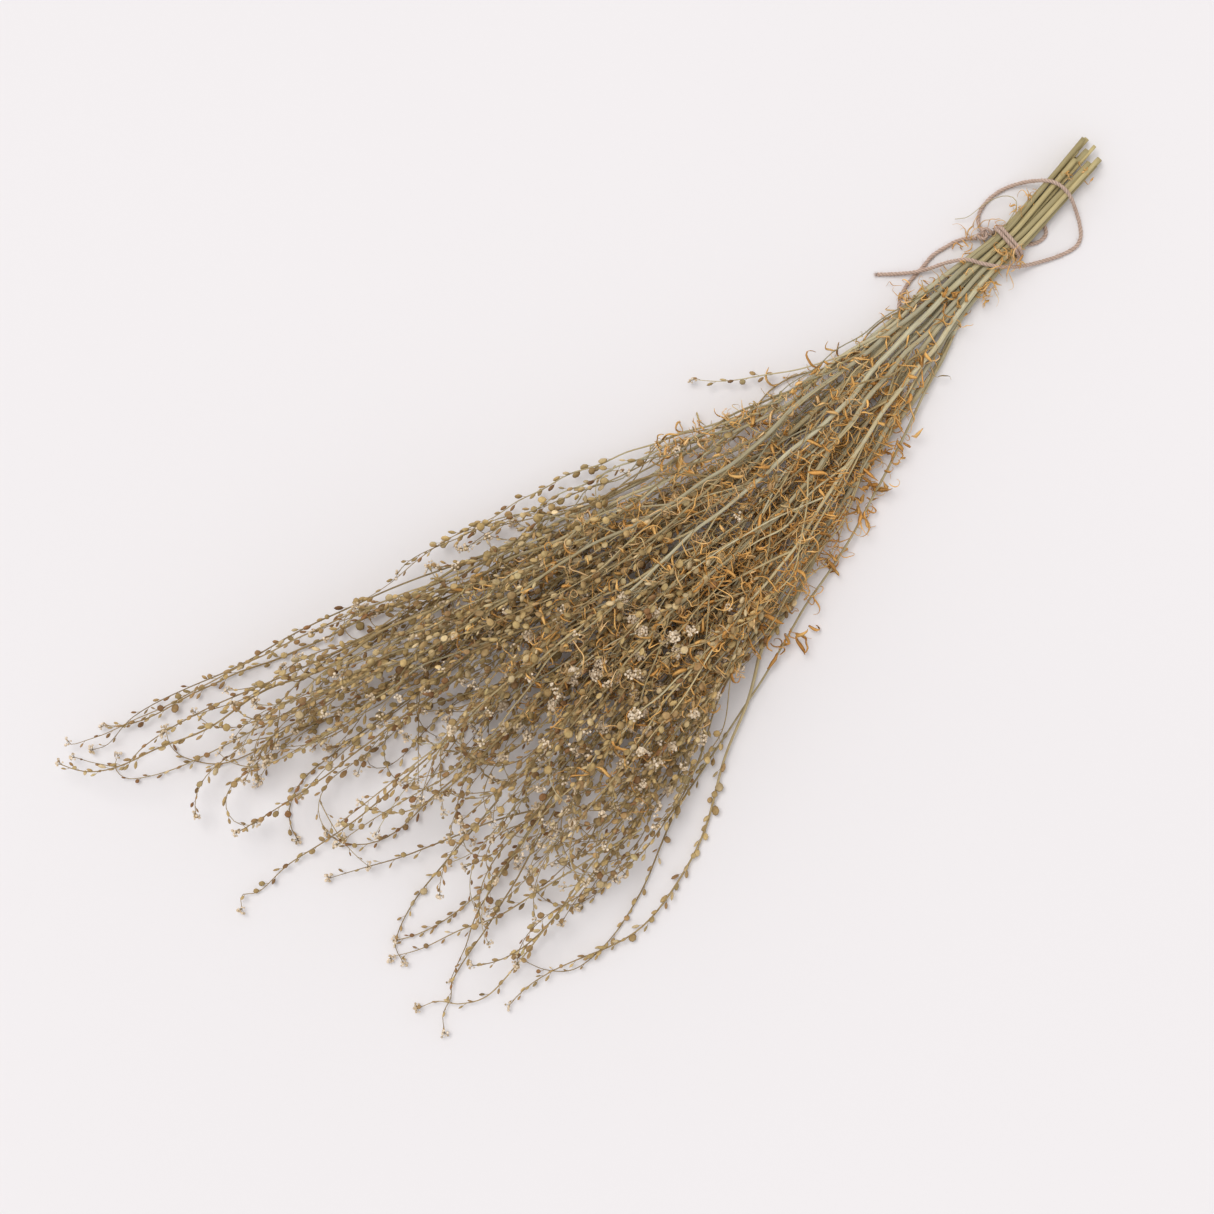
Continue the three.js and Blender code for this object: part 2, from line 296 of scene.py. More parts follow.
def addClosed(heap, rings, ends, tint, endTints, way, endWays):
    # rings of points joined into one rod, closed at each end by a fan about an end point
    count, sides = rings.shape[:2]
    turn = np.arange(sides)
    nextTurn = (turn + 1) % sides
    last, tips = (count - 1) * sides, count * sides
    caps = np.vstack([np.stack([nextTurn, turn, np.full(sides, tips)], -1),
                      np.stack([last + turn, last + nextTurn, np.full(sides, tips + 1)], -1)])
    heap.add(np.vstack([rings.reshape(-1, 3), ends]), [tubeFaces(count, sides), caps],
             np.vstack([tint.reshape(-1, 4), endTints]), np.vstack([way.reshape(-1, 3), endWays]))


def addRods(heap, rings, tint, way=None):
    # many thin closed rods at once: rings holds the points of each rod's rings, tint one value for each rod
    count, steps, sides = rings.shape[:3]
    each = steps * sides
    shift = (np.arange(count) * each)[:, None, None]
    caps = np.array([np.arange(sides)[::-1], each - sides + np.arange(sides)])
    grown = [(group[None] + shift).reshape(-1, group.shape[1]) for group in (tubeFaces(steps, sides), caps)]
    heap.add(rings, grown, np.repeat(tint, each, axis=0), None if way is None else way.reshape(-1, 3))


def addTube(heap, line, radius, sides, tint, ribs=0, ribDepth=0.0, twist=0.0, cutTint=None):
    # a closed round rod along a line; ribs and twist shape its section
    ahead, across, up = framesAlong(line)
    walked = distances(line)
    radius = np.broadcast_to(np.asarray(radius, float), len(line))
    angle = 2 * math.pi * np.arange(sides) / sides
    r = radius[:, None] * (1 + ribDepth * np.cos(ribs * angle)[None, :])
    rings = ringsAbout(line, r, angle[None, :] + twist * walked[:, None], across, up)
    ends = np.stack([line[0] - ahead[0] * radius[0] * 0.2, line[-1] + ahead[-1] * radius[-1] * 0.4])
    way = np.stack(np.broadcast_arrays(walked[:, None], angle[None, :] / (2 * math.pi), radius[:, None]), -1)
    endWays = np.array([[walked[0], 0, radius[0]], [walked[-1], 0, radius[-1]]])
    endTints = np.stack([tint[0] if cutTint is None else cutTint, tint[-1]])
    addClosed(heap, rings, ends, np.repeat(tint[:, None], sides, axis=1), endTints, way, endWays)


def addCopies(heap, shape, base, along, across, size, tint):
    # puts one small closed shape at many places: base points, directions and sizes are arrays
    along = unit(along)
    across = unit(across - along * (across * along).sum(-1, keepdims=True))
    flat = np.cross(along, across)
    v, faces = shape
    count, each = len(base), len(v)
    places = (base[:, None]
              + v[None, :, 0, None] * along[:, None] * size[:, None, 0, None]
              + v[None, :, 1, None] * across[:, None] * size[:, None, 1, None]
              + v[None, :, 2, None] * flat[:, None] * size[:, None, 2, None])
    shift = (np.arange(count) * each)[:, None, None]
    grown = [(group[None] + shift).reshape(-1, group.shape[1]) for group in faces]
    way = np.broadcast_to(v[None], (count, each, 3)).reshape(-1, 3)
    heap.add(places, grown, np.repeat(tint, each, axis=0), way)


def lensShape(outline, swell, innerShare=0.62, innerSwell=0.78):
    # a flat seed-like solid: a rim in the xy plane, an inner ring and a middle on each side
    rim = np.array([(x, y, 0.0) for x, y in outline])
    centre = np.array([rim[:, 0].mean(), 0, 0])
    inner = centre + (rim - centre) * innerShare
    n = len(rim)
    v = np.vstack([rim, inner + (0, 0, innerSwell * swell), inner - (0, 0, innerSwell * swell),
                   centre + (0, 0, swell), centre - (0, 0, swell)])
    turn = np.arange(n)
    nextTurn = (turn + 1) % n
    quads = np.vstack([np.stack([turn, nextTurn, n + nextTurn, n + turn], -1),
                       np.stack([nextTurn, turn, 2 * n + turn, 2 * n + nextTurn], -1)])
    tris = np.vstack([np.stack([n + turn, n + nextTurn, np.full(n, 3 * n)], -1),
                      np.stack([2 * n + nextTurn, 2 * n + turn, np.full(n, 3 * n + 1)], -1)])
    return v, [quads, tris]


def budShape(sides):
    # a small closed bud, narrow at its base
    rings = [(0.12, 0.24), (0.45, 0.5), (0.8, 0.36)]
    v = [(0.0, 0.0, 0.0)]
    for x, r in rings:
        for k in range(sides):
            a = 2 * math.pi * k / sides
            v.append((x, r * math.cos(a), r * math.sin(a)))
    v.append((1.0, 0.0, 0.0))
    turn = np.arange(sides)
    nextTurn = (turn + 1) % sides
    low = np.stack([np.zeros(sides, int), 1 + nextTurn, 1 + turn], -1)
    top = 1 + 2 * sides
    high = np.stack([top + turn, top + nextTurn, np.full(sides, 1 + 3 * sides)], -1)
    quads = [np.stack([k + turn, k + nextTurn, k + sides + nextTurn, k + sides + turn], -1)
             for k in (1, 1 + sides)]
    return np.array(v), [np.vstack(quads), np.vstack([low, high])]


def newMaterial(name, roughness, specular=0.5):
    material = bpy.data.materials.new(name)
    material.use_nodes = True
    shader = material.node_tree.nodes["Principled BSDF"].inputs
    shader["Roughness"].default_value = roughness
    shader["Specular IOR Level"].default_value = specular
    return material, material.node_tree, shader


def setInput(tree, socket, value):
    # an input takes a number, a vector or another node's output
    if isinstance(value, bpy.types.NodeSocket):
        tree.links.new(value, socket)
    else:
        socket.default_value = value


def addNode(tree, kind, output, inputs, **settings):
    node = tree.nodes.new("ShaderNode" + kind)
    for name, value in settings.items():
        setattr(node, name, value)
    for name, value in inputs.items():
        setInput(tree, node.inputs[name], value)
    return node.outputs[output]


def attributeOf(tree, name, output):
    return addNode(tree, "Attribute", output, {}, attribute_name=name)


def tintPart(tree, part):
    # the tint's red picks a hue, its green says how bright
    return addNode(tree, "SeparateColor", part, {"Color": attributeOf(tree, "tint", "Color")})


def noiseOf(tree, vector, scale, detail=3.0, roughness=0.55):
    return addNode(tree, "TexNoise", "Fac", {
        "Vector": vector, "Scale": scale, "Detail": detail, "Roughness": roughness})


def stretched(tree, vector, scale):
    return addNode(tree, "Mapping", "Vector", {"Vector": vector, "Scale": scale})


def ranged(tree, value, low, high, toLow, toHigh):
    return addNode(tree, "MapRange", "Result", {
        "Value": value, "From Min": low, "From Max": high, "To Min": toLow, "To Max": toHigh})


def combined(tree, kind, a, b):
    return addNode(tree, "Math", "Value", {0: a, 1: b}, operation=kind)


def brightened(tree, colour, value):
    return addNode(tree, "HueSaturation", "Color", {"Color": colour, "Value": value})


def bumpOf(tree, height, strength, distance):
    return addNode(tree, "Bump", "Normal", {"Height": height, "Strength": strength, "Distance": distance})


def rampOf(tree, factor, stops):
    node = tree.nodes.new("ShaderNodeValToRGB")
    while len(node.color_ramp.elements) < len(stops):
        node.color_ramp.elements.new(0.5)
    for element, (place, colour) in zip(node.color_ramp.elements, stops):
        element.position = place
        element.color = (*colour, 1)
    tree.links.new(factor, node.inputs["Fac"])
    return node.outputs["Color"]


def settle(piece, node=None):
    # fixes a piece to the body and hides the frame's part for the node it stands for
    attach(piece, "root")
    if node:
        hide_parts(node)


print("helpers ready")


twine = dict(
    width=twineWidth,
    sides=18,
    plies=3,
    plyDepth=0.13,
    plyPitch=0.0062,  # along the twine, for one full turn of a ply
    uneven=((0.05, 900, 1.3), (0.04, 2310, 0.0)),  # depth, waves and start of each swelling along it
    paintedGrooveShade=0.62,  # painted shade: brightness in the grooves, and how much more painted light on the plies
    paintedPlyLight=0.5,
    cutLight=0.7,  # at the ends
    step=0.00042,
    bindingTurns=2.25,
    pointsPerTurn=24,
    knotShare=0.86,  # the knot is pulled tight
    knotPoints=30,
    fuzzLength=0.0032,
    fuzzWidth=0.0001,
    fuzzPerMetre=2600,
    fuzzLean=(0.2, 0.9),
    frayedHairs=70,  # at the cut tail
    frayLength=(0.001, 0.0032),
    knotMiddle=(0.0797, -0.0125, 0.0052),
    knotHalf=(0.0038, 0.0022, 0.0028),
    colours=[(0.0, (0.36, 0.235, 0.18)), (0.45, (0.54, 0.39, 0.31)), (1.0, (0.66, 0.50, 0.42))],
    roughness=0.92,
    fibreScale=(900, 40, 1),
    patchScale=(90, 3, 1),
    fibreShare=0.6,
    bump=0.5,
    bumpDepth=0.0003,
    sheen=0.15,
)

# the loose loop, from the knot over the cut ends, back over the stems and out to its cut tail
loopRoute = [
    (0.0790, -0.0149, 0.0049),
    (0.0784, -0.0178, 0.0034),
    (0.0756, -0.0216, 0.0018),
    (0.0693, -0.0247, 0.0012),
    (0.0596, -0.0252, 0.0012),
    (0.0503, -0.0228, 0.0022),
    (0.0416, -0.0180, 0.0062),
    (0.0348, -0.0116, 0.0130),
    (0.0316, -0.0064, 0.0146),
    (0.0303, -0.0006, 0.0146),
    (0.0307, 0.0054, 0.0126),
    (0.0323, 0.0120, 0.0072),
    (0.0352, 0.0196, 0.0026),
    (0.0396, 0.0256, 0.0013),
    (0.0458, 0.0278, 0.0012),
    (0.0556, 0.0254, 0.0012),
    (0.0676, 0.0200, 0.0024),
    (0.0766, 0.0152, 0.0064),
    (0.0834, 0.0106, 0.0130),
    (0.0884, 0.0056, 0.0158),
    (0.0940, -0.0018, 0.0162),
    (0.0984, -0.0086, 0.0154),
    (0.1066, -0.0146, 0.0094),
    (0.1152, -0.0186, 0.0054),
    (0.1237, -0.0233, 0.0040),
    (0.1316, -0.0294, 0.0022),
    (0.1396, -0.0363, 0.0012),
]

# the second loose strand, from the knot along the surface and in under the bunch
strandRoute = [
    (0.0843, -0.0136, 0.0044),
    (0.0874, -0.0166, 0.0026),
    (0.0922, -0.0196, 0.0013),
    (0.0994, -0.0216, 0.0012),
    (0.1092, -0.0232, 0.0012),
    (0.1171, -0.0222, 0.0012),
    (0.1256, -0.0214, 0.0012),
    (0.1324, -0.0203, 0.0012),
    (0.1390, -0.0176, 0.0012),
    (0.1438, -0.0134, 0.0012),
    (0.1464, -0.0084, 0.0012),
    (0.1484, -0.0020, 0.0012),
]

# the short bight that lies under the stems and leads into the binding's turns
bight = [
    (-0.0225, -0.0010), (-0.0228, 0.0040), (-0.0217, 0.0090), (-0.0185, 0.0116),
    (-0.0135, 0.0114), (-0.0085, 0.0086), (-0.0055, 0.0040), (-0.0038, -0.0015),
]


def juteMaterial():
    material, tree, shader = newMaterial("juteTwine", twine["roughness"])
    way = attributeOf(tree, "way", "Vector")
    fibres = noiseOf(tree, stretched(tree, way, twine["fibreScale"]), 1.0, 4.0, 0.7)
    patches = noiseOf(tree, stretched(tree, way, twine["patchScale"]), 1.0)
    mixed = combined(tree, "ADD", combined(tree, "MULTIPLY", fibres, twine["fibreShare"]),
                     combined(tree, "MULTIPLY", patches, 1 - twine["fibreShare"]))
    colour = rampOf(tree, ranged(tree, mixed, 0.3, 0.7, 0, 1), twine["colours"])
    # the tint's green brightens the colour; on the twine it carries painted shade in the grooves and painted
    # light on the plies
    setInput(tree, shader["Base Color"], brightened(tree, colour, tintPart(tree, "Green")))
    setInput(tree, shader["Normal"], bumpOf(tree, fibres, twine["bump"], twine["bumpDepth"]))
    shader["Sheen Weight"].default_value = twine["sheen"]
    return material


def addTwine(heap, line, width):
    # the section has a lobe for each ply; the lobes turn along the line, with painted shade in the grooves
    # between them and painted light on the plies
    ahead, across, up = framesAlong(line)
    walked = np.linspace(0, lineLength(line), len(line))
    angle = 2 * math.pi * np.arange(twine["sides"]) / twine["sides"]
    turned = angle[None] + 2 * math.pi * walked[:, None] / twine["plyPitch"]
    lobe = np.abs(np.cos(twine["plies"] / 2 * angle))[None]
    uneven = 1
    for depth, waves, start in twine["uneven"]:
        uneven = uneven + depth * np.sin(walked * waves + start)[:, None]
    r = width / 2 * (1 - 2 * twine["plyDepth"] * (1 - lobe)) * uneven
    way = np.stack(np.broadcast_arrays(walked[:, None], angle[None] * 0.16, r), -1)
    # painted shade in the grooves and painted light on the plies, following the lobes
    paintedPlyShade = twine["paintedGrooveShade"] + twine["paintedPlyLight"] * lobe * np.ones((len(line), 1))
    tint = np.stack([paintedPlyShade, paintedPlyShade, paintedPlyShade, np.ones_like(paintedPlyShade)], -1)
    ends = np.stack([line[0] - ahead[0] * width * 0.1, line[-1] + ahead[-1] * width * 0.2])
    rings = ringsAbout(line, r, turned, across, up)
    addClosed(heap, rings, ends, tint, np.full((2, 4), twine["cutLight"]), way, np.zeros((2, 3)))


def addFuzz(heap, line, width, frayed=0):
    # loose fibres that stand off the twine, and a frayed brush where it was cut
    count = int(lineLength(line) * twine["fuzzPerMetre"])
    ahead, across, up = framesAlong(line)
    pick = rng.integers(2, len(line) - 2, count)
    angle = rng.uniform(0, 2 * math.pi, count)
    out = across[pick] * np.cos(angle)[:, None] + up[pick] * np.sin(angle)[:, None]
    start = line[pick] + out * width * 0.40
    lean = rng.normal(0, 1, (count, 1))
    heading = unit(out * rng.uniform(*twine["fuzzLean"], (count, 1)) + ahead[pick] * lean)
    length = twine["fuzzLength"] * rng.uniform(0.25, 1.0, count) ** 1.5
    if frayed:
        side = rng.uniform(0, 2 * math.pi, frayed)
        spread = across[-1] * np.cos(side)[:, None] + up[-1] * np.sin(side)[:, None]
        start = np.vstack([start, line[-1] + spread * width * 0.3 * rng.uniform(0, 1, (frayed, 1))])
        heading = np.vstack([heading, unit(ahead[-1] + spread * rng.uniform(0, 0.5, (frayed, 1)))])
        length = np.concatenate([length, rng.uniform(*twine["frayLength"], frayed)])
    walkHairs(heap, start, heading, length, twine["fuzzWidth"] / 2)


def walkHairs(heap, start, heading, length, radius, steps=5, turning=0.5):
    # fine three-sided hairs that curl a little and thin out as they go
    count = len(start)
    axis = unit(rng.normal(0, 1, (count, 3)))
    turn = rng.normal(0, turning, count)
    lines = [start]
    for _ in range(steps):
        heading = unit(turnAbout(heading, axis, turn))
        step = lines[-1] + heading * (length / steps)[:, None]
        step[:, 2] = np.maximum(step[:, 2], radius * 2)
        lines.append(step)
    side = unit(np.cross(heading, axis))
    ring = ringAcross(3, side, unit(np.cross(heading, side)))
    thin = np.linspace(1, 0.4, steps + 1)[None, :, None, None] * radius
    addRods(heap, np.stack(lines, 1)[:, :, None] + ring[:, None] * thin, np.ones((count, 4)))


def bindingRoute():
    # the bight, then turns round whichever stem stands out furthest in each direction
    centres = [stemCentre(plant, np.array([bunch["tie"]]))[0, 1:] for plant in plants]
    reach = bunch["stemWidth"] / 2 + bindingGap + twine["width"] / 2
    turns, perTurn = twine["bindingTurns"], twine["pointsPerTurn"]
    route = [(bunch["tie"] + x, y, bunch["lowestAxis"] - reach) for x, y in bight]
    for i in range(int(turns * perTurn) + 1):
        turn = i / perTurn
        angle = math.pi * (1.5 - 2 * turn)
        out = np.array([math.cos(angle), math.sin(angle)])
        furthest = centres[0]
        for centre in centres:
            if centre @ out > furthest @ out + 1e-6:
                furthest = centre
        place = furthest + reach * out
        route.append((bunch["tie"] + twine["width"] * (turn - turns / 2), place[0], place[1]))
    return route


def knotRoute():
    # an overhand knot at the bundle's side, round the ends of the binding and of the two loose strands
    route = []
    for t in np.linspace(0, 2 * math.pi, twine["knotPoints"]):
        x = (math.sin(t) + 2 * math.sin(2 * t)) / 3
        y = -math.sin(3 * t)
        z = (math.cos(t) - 2 * math.cos(2 * t)) / 3
        route.append(np.array(twine["knotMiddle"]) + np.array(twine["knotHalf"]) * (x, y, z))
    return route


def makeTwine():
    jute = juteMaterial()
    fuzz = Heap()
    # each piece's route, node, width and hairs at its cut end
    routes = dict(
        twineLoop=(loopRoute, "twine_loop", 1.0, twine["frayedHairs"]),
        twineStrand=(strandRoute, "twine_strand", 1.0, 0),
        twineBinding=(bindingRoute(), "twine_binding", 1.0, 0),
        twineKnot=(knotRoute(), "twine_knot", twine["knotShare"], 0),
    )
    loose = []
    for name, (route, node, share, frayed) in routes.items():
        line = smoothLine(route, twine["step"])
        heap = Heap()
        addTwine(heap, line, twine["width"] * share)
        piece = heap.toObject(name, jute)
        settle(piece, node)
        addFuzz(fuzz, line, twine["width"] * share, frayed)
        if name in ("twineLoop", "twineStrand"):
            loose.append((piece, line))
    settle(fuzz.toObject("twineFibres", jute))
    for piece, line in loose:
        print(piece.name, "length", round(lineLength(line), 4))


makeTwine()
print("twine tied")


# the main stems; hues and brightnesses are given as a mean and a spread
stems = dict(
    sides=21,
    ribs=7,
    ribDepth=0.06,
    cutWidth=0.0031,
    widthShare=(0.62, 1.14),
    middleShare=(0.85, 1.15),
    upperShare=(0.75, 1.0),
    widthPlaces=(0, 0.13, 0.2, 0.36),  # shares of the length where the widths above hold
    forkWidth=0.00147,  # where the fruiting spike begins
    podsSooner=0.02,
    twist=6,  # radians for each metre
    tipWidth=0.0005,
    wander=0.0022,
    waves=((0.17, 1.0), (0.075, 0.5), (0.034, 0.2)),  # lengths of the waverings, and their shares
    waveSpread=0.8,
    waveGrows=0.06,  # they reach their full width this far on
    looseEnds=0.0016,  # how far the cut ends lie from their neat rows
    straightPast=0.02,  # the stems run straight until this far past the tie
    tipShort=0.025,  # the curl makes up for this
    points=120,
    tries=20,
    curlLength=(0.035, 0.06),
    curlTurn=1.2,
    leftCurl=0.9,  # the left ones curl outwards
    droop=0.03,
    podsDense=1.1,
    step=0.006,
    ownHue=0.06,
    ownLight=0.10,
    hues=((0, 0.06, 0.14, 0.36, 0.42, 0.56), (0.0, 0.12, 0.6, 0.66, 0.82, 1.0)),  # along x
    cutTint=(0.25, 1.25, 1, 1),
    # green by the cut ends, bluish grey along the middle, olive brown among the pods
    colours=[(0.0, (0.455, 0.372, 0.180)), (0.25, (0.450, 0.382, 0.203)), (0.55, (0.505, 0.470, 0.330)),
             (0.75, (0.490, 0.395, 0.215)), (1.0, (0.320, 0.220, 0.095))],
    roughness=0.7,
    streakScale=(60, 14, 1),
    streak=0.22,
    bump=0.6,
)
# the thin side spikes and their twigs
spikes = dict(
    perPlant=15,
    forkFrom=0.26,  # shares of the plant's length
    forkTo=0.74,
    forkLeft=0.07,  # the left plants fork this much sooner
    forkArc=0.2,  # and the one with the bow is bare from this much sooner
    length=(0.125, 0.285),
    reachShare=(0.76, 0.975),
    spread=0.035,
    pullShare=(0.4, 1.2),
    pullFades=((0.40, 0.50), (1.0, 0.35)),  # along x
    lift=0.026,
    liftShares=[(-0.1, 1.0), (-0.9, 0.8), (-1.2, 0.35)],  # one pair for each layer
    ease=2.2,  # how soon they turn aside
    easeLeft=3.6,
    wander=2.2,  # this many times the main stems'
    points=46,
    tries=30,
    width=(0.0009, 0.0016),
    taper=(0.6, 0.62, 0.00042),  # this far along they have this share of their width; then the tip's width
    ownHue=(0.10, 0.13),
    ownLight=0.10,
    sides=5,
    step=0.0045,
    curlShare=0.75,
    curlLength=(0.018, 0.065),
    curlTurn=1.5,
    droop=0.02,
    bareTo=0.28,  # no pods before this share, nor before podsFrom along x
    podsFrom=0.285,
    bareMore=0.22,
    bareMost=0.78,
    twigShare=0.5,
    twigPlace=(0.45, 0.85),
    twigLength=(0.018, 0.055),
    twigWidth=(0.00066, 0.0004),
    twigLean=(0.4, 0.9),
    twigCurl=0.8,
    twigDroop=0.01,
    twigPods=dict(fromShare=0.2, small=0.62, dense=0.9),
    twigsBeyond=0.35,  # along x
    twigStep=0.0035,
)
curls = dict(step=0.0028, first=0.45, gain=1.1, level=0.93, lift=0.02, liftSpread=0.25)
# how near to the floor and how far out each thing may lie
room = dict(
    low=0.0012,
    lineLift=0.001,
    podLift=0.0012,
    leafLift=0.0006,
    top=0.0935,
    sides=(-0.148, 0.174),
    far=0.676,
    # the edges of the fan, in half widths of the lowest layer: it bulges to the left about halfway along
    left=((0.15, 0.25, 0.33, 0.40, 0.47, 0.55), (1.15, 1.3, 1.45, 1.3, 1.16, 1.1)),
    right=((0.45, 0.52, 0.58), (1.15, 1.05, 1.1)),
)
fullTurn = 6.28  # radians, near enough for a random start

# sprigs that stand clear of the rest: x, y and z along each
sprigs = [
    # the far left ones sweep out low and hook back
    [(0.380, -0.052, 0.036), (0.440, -0.074, 0.034), (0.500, -0.095, 0.030), (0.562, -0.116, 0.026),
     (0.602, -0.126, 0.020), (0.636, -0.135, 0.014), (0.650, -0.140, 0.010), (0.658, -0.144, 0.010),
     (0.658, -0.147, 0.012)],
    [(0.400, -0.062, 0.020), (0.440, -0.080, 0.018), (0.490, -0.098, 0.016), (0.548, -0.112, 0.014),
     (0.590, -0.126, 0.011), (0.622, -0.135, 0.008), (0.643, -0.133, 0.006), (0.652, -0.136, 0.005)],
    [(0.430, -0.058, 0.024), (0.500, -0.080, 0.022), (0.555, -0.098, 0.018), (0.604, -0.113, 0.012),
     (0.628, -0.117, 0.008), (0.645, -0.117, 0.007), (0.655, -0.128, 0.008), (0.662, -0.140, 0.011)],
    [(0.430, -0.044, 0.018), (0.500, -0.064, 0.014), (0.548, -0.075, 0.010), (0.600, -0.088, 0.006),
     (0.628, -0.098, 0.003), (0.648, -0.110, 0.002), (0.650, -0.120, 0.003), (0.644, -0.124, 0.004)],
    [(0.490, -0.040, 0.010), (0.540, -0.058, 0.007), (0.578, -0.071, 0.004), (0.604, -0.081, 0.002),
     (0.616, -0.096, 0.002), (0.618, -0.108, 0.003), (0.613, -0.118, 0.006)],
    # the one between the two halves of the fan
    [(0.470, -0.006, 0.020), (0.540, -0.004, 0.015), (0.585, -0.007, 0.009), (0.615, -0.013, 0.005),
     (0.636, -0.014, 0.003), (0.645, -0.019, 0.004), (0.650, -0.013, 0.005)],
    # the right edge bows out and swings back across the others
    [(0.133, 0.019, 0.006), (0.181, 0.038, 0.007), (0.221, 0.054, 0.007), (0.260, 0.066, 0.007),
     (0.300, 0.077, 0.006), (0.362, 0.096, 0.005), (0.422, 0.110, 0.004), (0.470, 0.131, 0.003),
     (0.503, 0.142, 0.002), (0.530, 0.142, 0.003), (0.545, 0.130, 0.005), (0.553, 0.112, 0.007)],
    [(0.470, 0.104, 0.016), (0.510, 0.110, 0.012), (0.548, 0.116, 0.008), (0.578, 0.119, 0.005),
     (0.594, 0.112, 0.004), (0.603, 0.101, 0.004), (0.614, 0.096, 0.005)],
    [(0.480, 0.066, 0.020), (0.530, 0.082, 0.014), (0.562, 0.092, 0.008), (0.588, 0.099, 0.004),
     (0.596, 0.106, 0.003), (0.606, 0.110, 0.003), (0.612, 0.118, 0.004)],
    [(0.470, 0.058, 0.014), (0.546, 0.078, 0.008), (0.572, 0.090, 0.004), (0.590, 0.098, 0.003)],
    [(0.500, 0.040, 0.012), (0.545, 0.046, 0.007), (0.575, 0.052, 0.003), (0.598, 0.062, 0.002),
     (0.603, 0.073, 0.002)],
    [(0.450, 0.106, 0.030), (0.500, 0.096, 0.022), (0.540, 0.090, 0.014), (0.566, 0.080, 0.008),
     (0.590, 0.074, 0.004), (0.606, 0.066, 0.004)],
    [(0.480, 0.062, 0.026), (0.512, 0.046, 0.018), (0.556, 0.030, 0.010), (0.590, 0.014, 0.006),
     (0.601, 0.009, 0.006)],
    # the lone one that leaves the left side early
    [(0.150, -0.006, 0.012), (0.180, -0.013, 0.013), (0.206, -0.024, 0.012), (0.228, -0.038, 0.010),
     (0.247, -0.051, 0.008), (0.258, -0.062, 0.007)],
    # a bare thread that curls out beside the knot
    [(0.0680, -0.0080, 0.0100), (0.0580, -0.0110, 0.0120), (0.0545, -0.0150, 0.0120),
     (0.0560, -0.0195, 0.0105), (0.0610, -0.0230, 0.0090), (0.0700, -0.0252, 0.0070),
     (0.0800, -0.0260, 0.0050), (0.0860, -0.0300, 0.0040)],
]
sprigLook = dict(step=0.003, wander=0.0008, width=0.0012, taper=(0.7, 0.65, 0.0004), bareTo=0.3)
sprigWidth = {6: 0.0017, 14: 0.0006}  # of those whose width differs
sprigBareTo = {6: 0.56, 13: 0.62, 14: 1.0}  # 1 carries no pods and no flowers


def shareAcross(x, y):
    # -1 at the left edge of the lowest layer, 1 at its right edge
    return (y - middleY(x)) / halfWidth(0, x)


def domeTop(x, y):
    # how high the bunch stands at a place: highest along its middle, lower at its sides
    share = np.clip(shareAcross(x, y), -1.2, 1.2)
    return bunch["lowestAxis"] + 2 * layerRise(x) * np.maximum(0.15, 1 - 0.5 * share**4) + 0.008


def keepInside(line):
    line = line.copy()
    line[:, 2] = np.minimum(line[:, 2], np.minimum(domeTop(line[:, 0], line[:, 1]), room["top"]))
    line[:, 2] = np.maximum(line[:, 2], room["low"] + room["lineLift"])
    return line


def isInside(line):
    low, high = room["sides"]
    return line[:, 1].min() > low and line[:, 1].max() < high and line[:, 0].max() < room["far"]


def isWithinFan(line):
    x = line[:, 0]
    share = shareAcross(x, line[:, 1])
    left, right = np.interp(x, *room["left"]), np.interp(x, *room["right"])
    return bool((share > -left).all() and (share < right).all())


def addCurl(line, length, turn, drop=0.0):
    # carries a line on, curling mostly flat, more tightly towards its end
    count = max(3, int(length / curls["step"]))
    heading = unit(line[-1] - line[-2])
    places = [line[-1]]
    spin = rng.normal(0, curls["liftSpread"])
    for i in range(count):
        angle = turn / count * (curls["first"] + curls["gain"] * i / count)
        c, s = math.cos(angle), math.sin(angle)
        heading = unit(np.array([heading[0] * c - heading[1] * s, heading[0] * s + heading[1] * c,
                                 heading[2] * curls["level"] + curls["lift"] * spin - drop]))
        places.append(places[-1] + heading * curls["step"])
    return np.vstack([line, places[1:]])


def wander(line, amount):
    # a slow wavering, none at the start
    walked = distances(line)
    grown = smoothStep(walked, 0, stems["waveGrows"])
    shift = np.zeros_like(line)
    for wave, share in stems["waves"]:
        for k in (1, 2):
            start = rng.uniform(0, fullTurn)
            wide = rng.normal(0, stems["waveSpread"])
            shift[:, k] += share * np.sin(2 * math.pi * walked / wave + start) * wide
    return line + shift * grown[:, None] * amount


def mainLine(plant):
    x = np.linspace(plant["cut"], plant["tip"] - stems["tipShort"], stems["points"])
    line = stemCentre(plant, x)
    loose = np.clip(1 - x / bunch["tie"], 0, 1)
    line[:, 1] += loose * rng.normal(0, stems["looseEnds"])
    line[:, 2] += loose * abs(rng.normal(0, stems["looseEnds"])) * 0.5
    start = np.searchsorted(x, bunch["tie"] + stems["straightPast"])
    line[start:] = wander(line[start:], stems["wander"])
    droop = stems["droop"] if plant["layer"] else 0.0
    for _ in range(stems["tries"]):
        turn = rng.normal(0, stems["curlTurn"]) + (stems["leftCurl"] if plant["isLeft"] else 0)
        tried = addCurl(line, rng.uniform(*stems["curlLength"]), turn, droop)
        if isInside(tried):
            line = tried
            break
    line[start:] = keepInside(line[start:])
    return line


